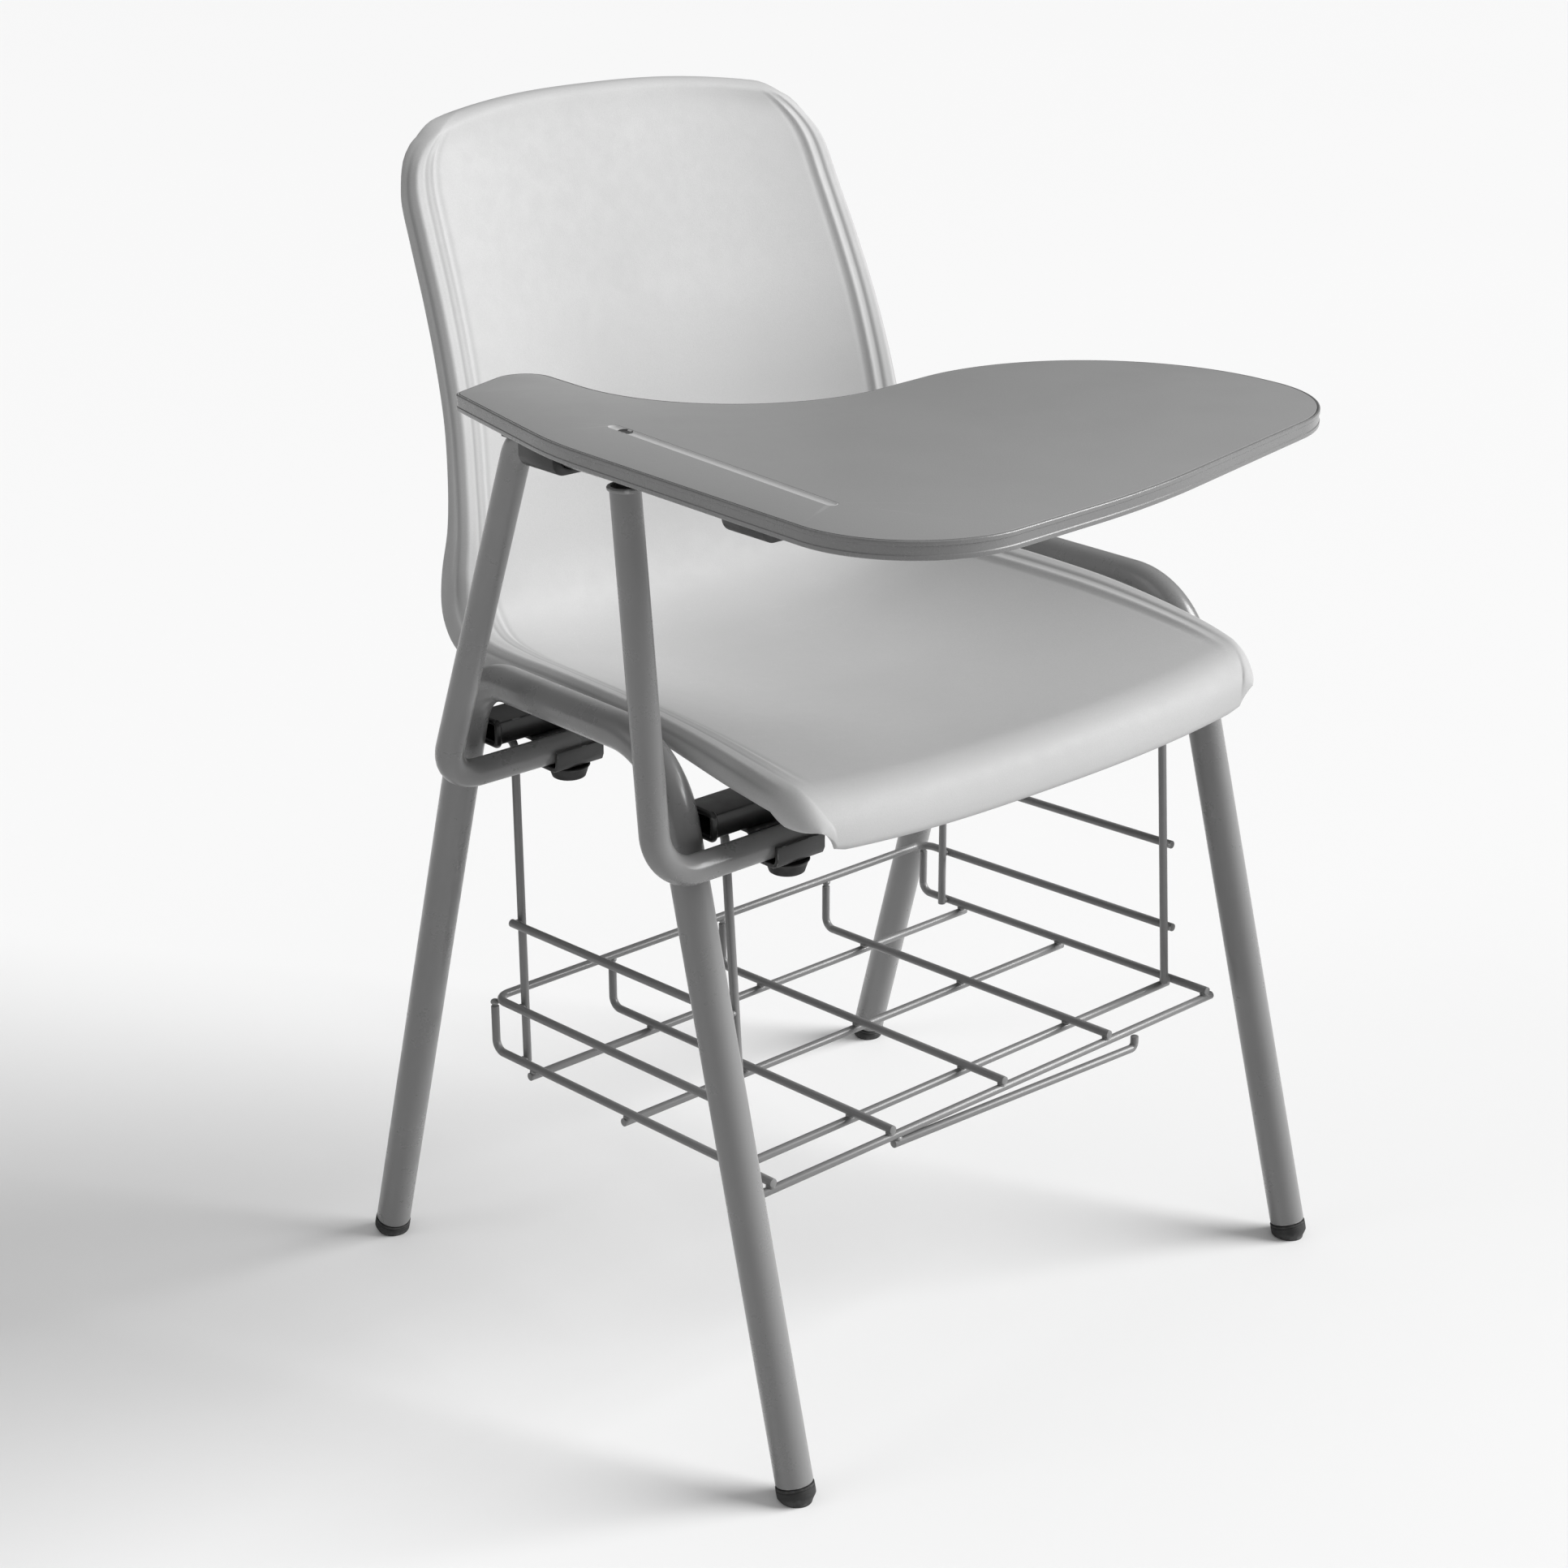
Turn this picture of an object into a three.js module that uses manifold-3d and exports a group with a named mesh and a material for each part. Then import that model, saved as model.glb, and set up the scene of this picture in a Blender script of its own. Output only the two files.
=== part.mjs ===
// Student desk chair: a one-piece moulded seat on a bent-tube frame, with a wire book basket
// under the seat and a writing tablet that flips up on the sitter's right.
//
// Millimetres, +Z up, sitter faces -Y. Pieces are drawn about the middle of the four feet
// (x = 0 is the chair's mid-plane, y = 0 is midway between front and rear feet), and the whole
// chair is then moved so that the middle of its plan outline stands over the origin.
import * as THREE from 'three';
import { mergeVertices } from 'three/addons/utils/BufferGeometryUtils.js';
import Module from 'manifold-3d';

const wasm = await Module();
wasm.setup();

// ---------------------------------------------------------------- driving dimensions
const PLAN_CENTRE = new THREE.Vector2(-39.3, -67.8);   // middle of the plan outline
const GAP = 0.3;                                     // clearance between touching pieces

const FRAME = {
  tubeR: 12.5, wall: 1.5, sides: 14,
  railX: 242, railZ: 478,                  // centre-line of the side rails
  frontFoot: [250, -230], rearFoot: [247, 230],
  frontCornerY: -100, rearCornerY: 97,     // where leg and rail centre-lines would cross
  frontBend: 62, rearBend: 48,
};
const CAP = { r: 13, soleR: 9.5, height: 11, stemR: 10.2, stemLength: 16 };
const CROSSBAR = { frontY: -112, rearY: 111, bottom: 422, top: 438, depth: 30, wall: 2, halfLength: 228.6 };

const SHELL = {
  wall: 5, columns: 20, rows: 30, dishPower: 2.6,
  frontRoll: 31, sideRoll: 13, topRoll: 12, hipRoll: 8,   // the rim rolls deeper round the hip bend
};
const BOSS = { x: 118, r: 12, top: 450 };

const ARM = {
  tubeR: 9.5, wall: 1.5, sides: 12,
  x: -285, runZ: 415, topZ: 668,           // tube plane, height of the under-seat and top runs
  runOffset: 30,                           // how far in front of its crossbar each run lies
  innerEnd: -160, topCornerY: -18, topEnd: -264,
  footBend: 30, topBend: 22, braceTopY: -118,
};
const BRACKET = {
  x: -180, width: 40, plate: 3, screwR: 4, screwHead: 3, screwSpread: 11,
  reachAhead: 13, stepBack: 17, hookBack: 42.5, hookRise: 14, tubeGap: 0.5,
};
const PAD = { topR: 15, bottomR: 11, height: 9 };
const SEAT_SCREW = { r: 4.5, head: 3 };
const TABLET_SCREW = { r: 3.6, head: 2.4, inset: 6 };
const PLUG = { r: 7.4, depth: 12, flangeR: 9.4, flange: 2, domeR: 7.5, dome: 2.5, crown: 0.5 };
const BRACE_GAP = 1.6;                               // weld gap under the arm's top run

const TABLET = { top: 690, thickness: 10.6, band: 2, edgeRound: 1.2 };
const CLAMP = {
  rearY: -52, frontY: -238, length: 34, halfWidth: 15, flange: 27, flangeT: 3.6, bore: 10.3, floor: 654.5,
};
const STOP = { reach: 70, width: 46, y: -164 };
const GROOVE = {
  rear: [-282.8, -106], front: [-300, -310], r: 4.5, depth: 2.6,
  wellOffset: 12, wellR: 5, wellDepth: 5,            // the well's place is measured from the rear end
};

const BASKET = {
  wireR: 3, sides: 8, pitch: 107,          // five floor rods at this spacing
  floorZ: 183, slope: 0.052,               // height at y = 0, and rise towards the front
  rearY: 131, frontY: -164, crossY: [87, -18, -125],
  rimRise: 41, guardRise: 106, rearBend: 8, rimBend: 12,
  rimFront: -131, guardEnds: [-126, 107],            // where the side runs end, at the hangers
  hangerFootY: [-131, 103], hangerTopY: [-114, 105], hangerEndY: [-98, 124], hangerTopZ: 418, hangerBend: 6,
  lip: { from: -104, to: 138, drop: 9, bend: 4 },    // the rod under the front edge and its dip
};

// ---------------------------------------------------------------- materials
const finish = (color, roughness, metalness) =>
  new THREE.MeshStandardMaterial({ color, roughness, metalness });
const MAT = {
  shell: finish(0xb9b9b9, 0.42, 0),
  paint: finish(0xa3a3a3, 0.35, 0.35),
  wire: finish(0x9a9a9a, 0.4, 0.35),
  black: finish(0x151515, 0.5, 0.2),
  rubber: finish(0x101010, 0.75, 0),
  steel: finish(0xb4b4b4, 0.3, 0.9),
  board: finish(0x8f8f8f, 0.45, 0),
  band: finish(0x6f6f6f, 0.4, 0),
};

// ---------------------------------------------------------------- helpers
const chair = new THREE.Group();
const v3 = (x, y, z) => new THREE.Vector3(x, y, z);

function add(name, geometry, material) {
  const mesh = new THREE.Mesh(geometry, material);
  mesh.name = name;
  chair.add(mesh);
  return mesh;
}

/** A centre-line of straights joined by round bends. Equal steps of the parameter fall on the
 *  ends of the straights and at even angles round each bend, so straights cost one step. */
class BentPath extends THREE.Curve {
  constructor(corners, radii, bendSteps = 6) {
    super();
    this.stations = [{ p: corners[0], t: corners[1].clone().sub(corners[0]).normalize() }];
    for (let i = 1; i < corners.length - 1; i++) this.addBend(corners, i, radii[i - 1], bendSteps);
    const end = corners.length - 1;
    const lastDir = corners[end].clone().sub(corners[end - 1]).normalize();
    this.stations.push({ p: corners[end], t: lastDir });
  }
  addBend(corners, i, radius, steps) {
    const into = corners[i].clone().sub(corners[i - 1]).normalize();
    const out = corners[i + 1].clone().sub(corners[i]).normalize();
    const turn = into.angleTo(out);
    const start = corners[i].clone().addScaledVector(into, -radius * Math.tan(turn / 2));
    const side = out.clone().addScaledVector(into, -out.dot(into)).normalize();
    for (let k = 0; k <= steps; k++) {
      const a = (turn * k) / steps;
      const p = start.clone().addScaledVector(into, radius * Math.sin(a));
      p.addScaledVector(side, radius * (1 - Math.cos(a)));
      const t = into.clone().multiplyScalar(Math.cos(a)).addScaledVector(side, Math.sin(a));
      this.stations.push({ p, t });
    }
  }
  get steps() { return this.stations.length - 1; }
  at(u, key) {
    const f = Math.min(Math.max(u, 0), 1) * this.steps;
    const k = Math.min(Math.floor(f), this.steps - 1);
    return this.stations[k][key].clone().lerp(this.stations[k + 1][key], f - k);
  }
  getPoint(u, target = v3()) { return target.copy(this.at(u, 'p')); }
  getPointAt(u, target) { return this.getPoint(u, target); }
  getTangent(u, target = v3()) { return target.copy(this.at(u, 't')).normalize(); }
  getTangentAt(u, target) { return this.getTangent(u, target); }
}

function ring(radius, sides) {
  const points = [];
  for (let i = 0; i < sides; i++) {
    const a = (2 * Math.PI * (i + 0.5)) / sides;
    points.push(new THREE.Vector2(radius * Math.cos(a), radius * Math.sin(a)));
  }
  return points;
}

/** A round bar or, with a wall, an open-ended tube along a path. */
function bar(path, radius, sides, wall = 0) {
  const section = new THREE.Shape(ring(radius, sides));
  if (wall > 0) section.holes.push(new THREE.Path(ring(radius - wall, sides)));
  return new THREE.ExtrudeGeometry(section, { extrudePath: path, steps: path.steps });
}

function solid(geometry) {
  const g = geometry.clone();
  g.deleteAttribute('normal');
  g.deleteAttribute('uv');
  const merged = mergeVertices(g, 1e-4);
  const vertProperties = new Float32Array(merged.attributes.position.array);
  const triVerts = new Uint32Array(merged.index.array);
  return new wasm.Manifold(new wasm.Mesh({ numProp: 3, vertProperties, triVerts }));
}

function fromSolid(manifold) {
  const mesh = manifold.getMesh();
  const g = new THREE.BufferGeometry();
  g.setAttribute('position', new THREE.BufferAttribute(new Float32Array(mesh.vertProperties), 3));
  g.setIndex(new THREE.BufferAttribute(new Uint32Array(mesh.triVerts), 1));
  return g;
}

/** Turns a shape drawn in (along Y, along Z) and extruded along its own Z into one extruded along X. */
function extrudeAlongX(shape, length, xMid) {
  const g = new THREE.ExtrudeGeometry(shape, { depth: length, bevelEnabled: false, curveSegments: 4 });
  g.translate(0, 0, -length / 2);
  g.rotateY(Math.PI / 2).rotateX(Math.PI / 2);
  return g.translate(xMid, 0, 0);
}

function rectangle(x0, y0, x1, y1, Kind = THREE.Shape) {
  const points = [[x0, y0], [x1, y0], [x1, y1], [x0, y1]].map(([x, y]) => new THREE.Vector2(x, y));
  return new Kind(points);
}

const cylinder = (r, z0, z1, x, y, sides = 12) =>
  new THREE.CylinderGeometry(r, r, z1 - z0, sides).rotateX(Math.PI / 2).translate(x, y, (z0 + z1) / 2);

/** A pan-head screw's head, domed side down. */
function screwHead(x, y, bottom, top, r) {
  const profile = [[0, bottom], [r * 0.7, bottom], [r, (bottom + top) / 2], [r, top], [0, top]];
  const g = new THREE.LatheGeometry(profile.map(([radius, z]) => new THREE.Vector2(radius, z)), 12);
  return g.rotateX(Math.PI / 2).translate(x, y, 0);
}

// ---------------------------------------------------------------- seat shell
// Stations along the shell from the front edge over the seat and up the back, as a sheet with
// square corners: the mid-line's y and z, the side edge's y and z, the sheet's half width there,
// and the half width after the corners are rounded off.
const SHELL_STATIONS = [
  [-206, 455, -201, 465, 219, 201], [-197, 455.5, -192, 466, 219, 211], [-178, 455.5, -175, 469, 219, 217],
  [-145, 454.5, -145, 475, 219, 219], [-100, 452.5, -100, 482, 219, 219], [-50, 450, -50, 487, 219, 219],
  [0, 448.5, 0, 489, 219, 219], [50, 448.5, 50, 490, 219, 219], [95, 451, 92, 490, 219, 219],
  [130, 459, 127, 493, 219, 219], [156, 477, 143, 506, 217, 217], [172, 506, 147, 528, 214, 214],
  [181, 545, 149, 555, 209, 209], [186, 585, 154, 588, 205, 205], [191, 625, 162, 626, 201, 201],
  [200, 665, 174, 665, 198, 198], [214, 705, 189, 703, 195, 195], [229, 745, 207, 742, 192, 192],
  [243, 778, 220, 771, 190, 189], [254, 803, 227, 786, 189, 180], [260, 821, 227, 796, 188, 161],
  [263, 828, 225, 800, 187, 132],
];
const shellCurve = (pick) => new THREE.CatmullRomCurve3(SHELL_STATIONS.map(pick), false, 'catmullrom', 0.5);
const shellMid = shellCurve((k) => v3(k[0], k[1], 0));
const shellSide = shellCurve((k) => v3(k[2], k[3], 0));
const shellWidths = shellCurve((k) => v3(k[4], k[5], 0));

/** Point of the square-cornered sheet, s along it from front to top and x across it. */
function shellSheet(s, x) {
  const reach = Math.abs(x) / shellWidths.getPoint(s).x;
  const p = shellMid.getPoint(s).lerp(shellSide.getPoint(s), reach ** SHELL.dishPower);
  return v3(x, p.x, p.y);
}

/** The shell with its rim rolled over: t from -1 to 1 across, depth 0 (show face) or 1 (under face). */
function shellPoint(s, t, depth) {
  const step = 1e-3;
  const halfWidth = shellWidths.getPoint(s).y;
  const x = halfWidth * t;
  const p = shellSheet(s, x);
  const across = shellSheet(s, x + 1).sub(shellSheet(s, x - 1)).normalize();
  const along = shellSheet(Math.min(s + step, 1), x).sub(shellSheet(Math.max(s - step, 0), x));
  along.addScaledVector(across, -along.dot(across)).normalize();
  const normal = across.clone().cross(along).normalize();
  const atFront = s < 0.5;
  const endRoll = atFront ? SHELL.frontRoll : SHELL.topRoll;
  const sideRoll = SHELL.sideRoll + SHELL.hipRoll * Math.exp(-(((s - 0.46) / 0.1) ** 2));
  const sideBit = Math.max(0, 1 - (halfWidth * (1 - Math.abs(t))) / sideRoll);
  const endBit = Math.max(0, 1 - shellSheet(s, 0).distanceTo(shellSheet(atFront ? 0 : 1, 0)) / endRoll);
  if (sideBit + endBit > 0) {
    const roll = (sideRoll * sideBit + endRoll * endBit) / (sideBit + endBit);
    const outward = across.clone().multiplyScalar(Math.sign(t) * sideBit);
    outward.addScaledVector(along, atFront ? -endBit : endBit).normalize();
    const c = Math.sqrt(Math.max(0, (1 - sideBit ** 2) * (1 - endBit ** 2)));
    p.addScaledVector(normal, -roll * (1 - c));
    normal.multiplyScalar(c).addScaledVector(outward, Math.sqrt(1 - c * c)).normalize();
  }
  return p.addScaledVector(normal, -depth * SHELL.wall);
}

function seatShell() {
  const g = new THREE.BoxGeometry(2, 1, 1, SHELL.columns, SHELL.rows, 1);
  const pos = g.attributes.position;
  for (let i = 0; i < pos.count; i++) {
    const t = Math.sin((pos.getX(i) * Math.PI) / 2);
    const p = shellPoint(pos.getY(i) + 0.5, t, 0.5 - pos.getZ(i));
    pos.setXYZ(i, p.x, p.y, p.z);
  }
  g.deleteAttribute('normal');
  g.deleteAttribute('uv');
  return mergeVertices(g, 1e-4);
}
add('seat_shell', seatShell(), MAT.shell);

// ---------------------------------------------------------------- leg frames and feet
function legAxis(foot, cornerY, side) {
  const base = v3(side * foot[0], foot[1], 0);
  const dir = v3(side * FRAME.railX, cornerY, FRAME.railZ).sub(base).normalize();
  return { base, dir };
}

function footCap(axis) {
  const { r, soleR, height, stemR, stemLength } = CAP;
  const stemTop = height + stemLength;
  const profile = [[0, -6], [soleR, -6], [soleR, -2.5], [r, 3.5], [r, height], [stemR, height],
    [stemR, stemTop - 2], [stemR - 2, stemTop], [0, stemTop]];
  const g = new THREE.LatheGeometry(profile.map(([x, y]) => new THREE.Vector2(x, y)), 20);
  g.applyQuaternion(new THREE.Quaternion().setFromUnitVectors(v3(0, 1, 0), axis.dir));
  g.translate(axis.base.x, axis.base.y, 0);
  const aboveFloor = new THREE.BoxGeometry(80, 80, 60).translate(axis.base.x, axis.base.y, 30);
  return fromSolid(solid(g).intersect(solid(aboveFloor)));
}

for (const [sideName, side] of [['left', 1], ['right', -1]]) {
  const front = legAxis(FRAME.frontFoot, FRAME.frontCornerY, side);
  const rear = legAxis(FRAME.rearFoot, FRAME.rearCornerY, side);
  const startUp = CAP.height + GAP;
  const corners = [
    front.base.clone().addScaledVector(front.dir, startUp),
    v3(side * FRAME.railX, FRAME.frontCornerY, FRAME.railZ),
    v3(side * FRAME.railX, FRAME.rearCornerY, FRAME.railZ),
    rear.base.clone().addScaledVector(rear.dir, startUp),
  ];
  const path = new BentPath(corners, [FRAME.frontBend, FRAME.rearBend], 7);
  add(`leg_frame_${sideName}`, bar(path, FRAME.tubeR, FRAME.sides, FRAME.wall), MAT.paint);
  add(`foot_cap_front_${sideName}`, footCap(front), MAT.rubber);
  add(`foot_cap_rear_${sideName}`, footCap(rear), MAT.rubber);
}

// ---------------------------------------------------------------- crossbars, seat bosses, screws
function crossbar(y) {
  const { depth, bottom, top, wall, halfLength } = CROSSBAR;
  const section = rectangle(y - depth / 2, bottom, y + depth / 2, top);
  const inner = depth / 2 - wall;
  section.holes.push(rectangle(y - inner, bottom + wall, y + inner, top - wall, THREE.Path));
  return extrudeAlongX(section, 2 * halfLength, 0);
}

for (const [endName, y] of [['front', CROSSBAR.frontY], ['rear', CROSSBAR.rearY]]) {
  add(`crossbar_${endName}`, crossbar(y), MAT.black);
  for (const [sideName, side] of [['left', 1], ['right', -1]]) {
    const x = side * BOSS.x;
    const boss = cylinder(BOSS.r, CROSSBAR.top + GAP, BOSS.top, x, y, 16);
    add(`seat_boss_${endName}_${sideName}`, boss, MAT.shell);
    const seat = CROSSBAR.bottom - GAP;
    const head = screwHead(x, y, seat - SEAT_SCREW.head, seat, SEAT_SCREW.r);
    add(`seat_screw_${endName}_${sideName}`, head, MAT.steel);
  }
}

// ---------------------------------------------------------------- tablet arm
const frontRunY = CROSSBAR.frontY - ARM.runOffset;
const rearRunY = CROSSBAR.rearY - ARM.runOffset;

const armPath = new BentPath([
  v3(ARM.innerEnd, rearRunY, ARM.runZ), v3(ARM.x, rearRunY, ARM.runZ),
  v3(ARM.x, ARM.topCornerY, ARM.topZ), v3(ARM.x, ARM.topEnd, ARM.topZ),
], [ARM.footBend, ARM.topBend], 7);
add('tablet_arm_tube', bar(armPath, ARM.tubeR, ARM.sides, ARM.wall), MAT.paint);

const bracePath = new BentPath([
  v3(ARM.innerEnd, frontRunY, ARM.runZ), v3(ARM.x, frontRunY, ARM.runZ),
  v3(ARM.x, ARM.braceTopY, ARM.topZ - ARM.tubeR - BRACE_GAP),
], [ARM.footBend], 7);
add('tablet_arm_brace', bar(bracePath, ARM.tubeR, ARM.sides, ARM.wall), MAT.paint);

function armEndPlug() {
  const { r, depth, flangeR, flange, domeR, dome, crown } = PLUG;
  const rim = depth + flange;
  const profile = [[0, 0], [r, 0], [r, depth], [flangeR, depth], [flangeR, rim], [domeR, rim + dome],
    [0, rim + dome + crown]];
  const g = new THREE.LatheGeometry(profile.map(([x, y]) => new THREE.Vector2(x, y)), 14);
  return g.rotateX(Math.PI).translate(ARM.x, ARM.topEnd + depth - GAP, ARM.topZ);
}
add('arm_end_plug', armEndPlug(), MAT.rubber);

/** A bent strap under the crossbar that carries an under-seat run of the arm tube. */
function armBracket(barY) {
  const z = CROSSBAR.bottom - GAP - BRACKET.plate / 2;
  const under = ARM.runZ - ARM.tubeR - BRACKET.tubeGap - BRACKET.plate / 2;
  const stepY = barY - BRACKET.stepBack;
  const hookY = barY - BRACKET.hookBack;
  const path = new BentPath([
    v3(BRACKET.x, barY + BRACKET.reachAhead, z), v3(BRACKET.x, stepY, z), v3(BRACKET.x, stepY, under),
    v3(BRACKET.x, hookY, under), v3(BRACKET.x, hookY, under + BRACKET.hookRise),
  ], [3, 3, 4], 2);
  const section = rectangle(-BRACKET.plate / 2, -BRACKET.width / 2, BRACKET.plate / 2, BRACKET.width / 2);
  return new THREE.ExtrudeGeometry(section, { extrudePath: path, steps: path.steps });
}

for (const [endName, y] of [['front', CROSSBAR.frontY], ['rear', CROSSBAR.rearY]]) {
  add(`arm_bracket_${endName}`, armBracket(y), MAT.black);
  const plateBottom = CROSSBAR.bottom - GAP - BRACKET.plate;
  for (const [sideName, dx] of [['outer', -BRACKET.screwSpread], ['inner', BRACKET.screwSpread]]) {
    const seat = plateBottom - GAP;
    const head = screwHead(BRACKET.x + dx, y + 1, seat - BRACKET.screwHead, seat, BRACKET.screwR);
    add(`arm_screw_${endName}_${sideName}`, head, MAT.steel);
  }
  const padTop = ARM.runZ - ARM.tubeR - BRACKET.tubeGap - BRACKET.plate - GAP;
  const pad = new THREE.CylinderGeometry(PAD.topR, PAD.bottomR, PAD.height, 16).rotateX(Math.PI / 2);
  pad.translate(BRACKET.x, y - ARM.runOffset, padTop - PAD.height / 2);
  add(`stacking_pad_${endName}`, pad, MAT.rubber);
}

// ---------------------------------------------------------------- writing tablet
// Corners of the tablet's outline, seen from above, anticlockwise, with their radii.
const TABLET_CORNERS = [
  [-304, 22, 8], [-231, 50, 20], [-241, -154, 120], [98, -121, 138], [88, -353, 82], [-150, -404, 600],
  [-345, -414, 78], [-333, -110, 300],
].reverse();

/** Moves every side of the outline inwards by d, and each corner's radius with it. */
function insetCorners(corners, d) {
  const n = corners.length;
  return corners.map(([x, y, r], i) => {
    const a = new THREE.Vector2(...corners[(i + n - 1) % n]);
    const b = new THREE.Vector2(...corners[(i + 1) % n]);
    const here = new THREE.Vector2(x, y);
    const into = here.clone().sub(a).normalize();
    const out = b.sub(here).normalize();
    const turn = Math.atan2(into.cross(out), into.dot(out));
    const normal = new THREE.Vector2(-into.y - out.y, into.x + out.x).normalize();
    const p = here.addScaledVector(normal, d / Math.cos(turn / 2));
    return [p.x, p.y, Math.max(1, r - Math.sign(turn) * d)];
  });
}

/** A closed outline whose corners are arcs. */
function outline(corners, Kind = THREE.Shape) {
  const shape = new Kind();
  const n = corners.length;
  for (let i = 0; i < n; i++) {
    const here = new THREE.Vector2(corners[i][0], corners[i][1]);
    const into = here.clone().sub(new THREE.Vector2(...corners[(i + n - 1) % n])).normalize();
    const out = new THREE.Vector2(...corners[(i + 1) % n]).sub(here).normalize();
    const turn = Math.atan2(into.cross(out), into.dot(out));
    const r = corners[i][2];
    const start = here.clone().addScaledVector(into, -r * Math.tan(Math.abs(turn) / 2));
    const left = new THREE.Vector2(-into.y, into.x).multiplyScalar(Math.sign(turn));
    const centre = start.clone().addScaledVector(left, r);
    const a0 = Math.atan2(start.y - centre.y, start.x - centre.x);
    if (i === 0) shape.moveTo(start.x, start.y);
    shape.absarc(centre.x, centre.y, r, a0, a0 + turn, turn < 0);
  }
  shape.closePath();
  return shape;
}

function tabletBoard() {
  const under = TABLET.top - TABLET.thickness;
  const round = TABLET.edgeRound;
  const corners = insetCorners(TABLET_CORNERS, TABLET.band + GAP + round);
  const g = new THREE.ExtrudeGeometry(outline(corners), {
    depth: TABLET.thickness - 2 * round, curveSegments: 8,
    bevelThickness: round, bevelSize: round, bevelSegments: 1,
  }).translate(0, 0, under + round);
  return fromSolid(solid(g).subtract(penGroove()).subtract(penWell()));
}

/** The pen groove: a round-bottomed channel cut in the top, slightly turned to follow the outer edge. */
function penGroove() {
  const a = v3(...GROOVE.rear, 0);
  const b = v3(...GROOVE.front, 0);
  const length = a.distanceTo(b);
  const g = new THREE.CapsuleGeometry(GROOVE.r, length, 4, 12);
  const heading = b.clone().sub(a).normalize();
  g.applyQuaternion(new THREE.Quaternion().setFromUnitVectors(v3(0, 1, 0), heading));
  const mid = a.add(b).multiplyScalar(0.5);
  return solid(g.translate(mid.x, mid.y, TABLET.top + GROOVE.r - GROOVE.depth));
}

/** A round hole in the groove near its rear end, which a pen stands in. */
function penWell() {
  const { rear, front, wellOffset, wellR, wellDepth } = GROOVE;
  const centre = v3(...front, 0).sub(v3(...rear, 0)).setLength(wellOffset).add(v3(...rear, 0));
  return solid(cylinder(wellR, TABLET.top - wellDepth, TABLET.top + wellDepth, centre.x, centre.y, 16));
}

function edgeBand() {
  const shape = outline(TABLET_CORNERS);
  shape.holes.push(outline(insetCorners(TABLET_CORNERS, TABLET.band), THREE.Path));
  const settings = { depth: TABLET.thickness, bevelEnabled: false, curveSegments: 8 };
  return new THREE.ExtrudeGeometry(shape, settings).translate(0, 0, TABLET.top - TABLET.thickness);
}

/** A clamp block that hangs on the arm's top run and is screwed up into the board by its flanges. */
function tabletClamp(y) {
  const { halfWidth, flange, flangeT, bore, floor, length } = CLAMP;
  const top = TABLET.top - TABLET.thickness - GAP - ARM.topZ;
  const low = floor - ARM.topZ;
  const round = 9;
  const s = new THREE.Shape();
  s.moveTo(-halfWidth + round, low);
  s.absarc(halfWidth - round, low + round, round, -Math.PI / 2, 0, false);
  s.lineTo(halfWidth, top - flangeT);
  s.lineTo(flange, top - flangeT);
  s.lineTo(flange, top);
  s.lineTo(-flange, top);
  s.lineTo(-flange, top - flangeT);
  s.lineTo(-halfWidth, top - flangeT);
  s.absarc(-halfWidth + round, low + round, round, Math.PI, 1.5 * Math.PI, false);
  s.holes.push(new THREE.Path(ring(bore, 16)));
  const g = new THREE.ExtrudeGeometry(s, { depth: length, bevelEnabled: false, curveSegments: 4 });
  return g.rotateX(Math.PI / 2).translate(ARM.x, y + length / 2, ARM.topZ);
}

add('tablet_board', tabletBoard(), MAT.board);
add('tablet_edge_band', edgeBand(), MAT.band);
for (const [endName, y] of [['front', CLAMP.frontY], ['rear', CLAMP.rearY]]) {
  add(`tablet_clamp_${endName}`, tabletClamp(y), MAT.black);
  const seat = TABLET.top - TABLET.thickness - CLAMP.flangeT - 2 * GAP;
  for (const [sideName, side] of [['outer', -1], ['inner', 1]]) {
    const x = ARM.x + side * (CLAMP.flange - TABLET_SCREW.inset);
    const head = screwHead(x, y, seat - TABLET_SCREW.head, seat, TABLET_SCREW.r);
    add(`tablet_screw_${endName}_${sideName}`, head, MAT.steel);
  }
}

/** A flat tongue welded on top of the arm, which the tablet comes down on. */
function tabletStop() {
  const bottom = ARM.topZ + ARM.tubeR + GAP;
  const top = TABLET.top - TABLET.thickness - GAP;
  const g = new THREE.BoxGeometry(STOP.reach, STOP.width, top - bottom);
  return g.translate(ARM.x + 0.5 + STOP.reach / 2, STOP.y, (bottom + top) / 2);
}
add('tablet_stop', tabletStop(), MAT.paint);

// ---------------------------------------------------------------- book basket
const floorZ = (y) => BASKET.floorZ - BASKET.slope * y;
const wire = (corners, radii, steps = 4) =>
  bar(new BentPath(corners, radii, steps), BASKET.wireR, BASKET.sides);
const sideX = 2 * BASKET.pitch;
const layer = 2 * BASKET.wireR + GAP;

for (let i = 0; i < 5; i++) {
  const x = sideX - i * BASKET.pitch;
  const rear = v3(x, BASKET.rearY, floorZ(BASKET.rearY));
  const top = rear.clone().setZ(rear.z + BASKET.rimRise - layer);
  const front = v3(x, BASKET.frontY - BASKET.wireR, floorZ(BASKET.frontY));
  add(`floor_rod_${i + 1}`, wire([front, rear, top], [BASKET.rearBend]), MAT.wire);
}

const crossRod = (y, reach) => wire([v3(-reach, y, floorZ(y) - layer), v3(reach, y, floorZ(y) - layer)], []);
['rear', 'middle', 'front'].forEach((place, i) => {
  add(`cross_rod_${place}`, crossRod(BASKET.crossY[i], sideX + 4), MAT.wire);
});
add('front_rod', crossRod(BASKET.frontY, sideX + 8), MAT.wire);

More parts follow.
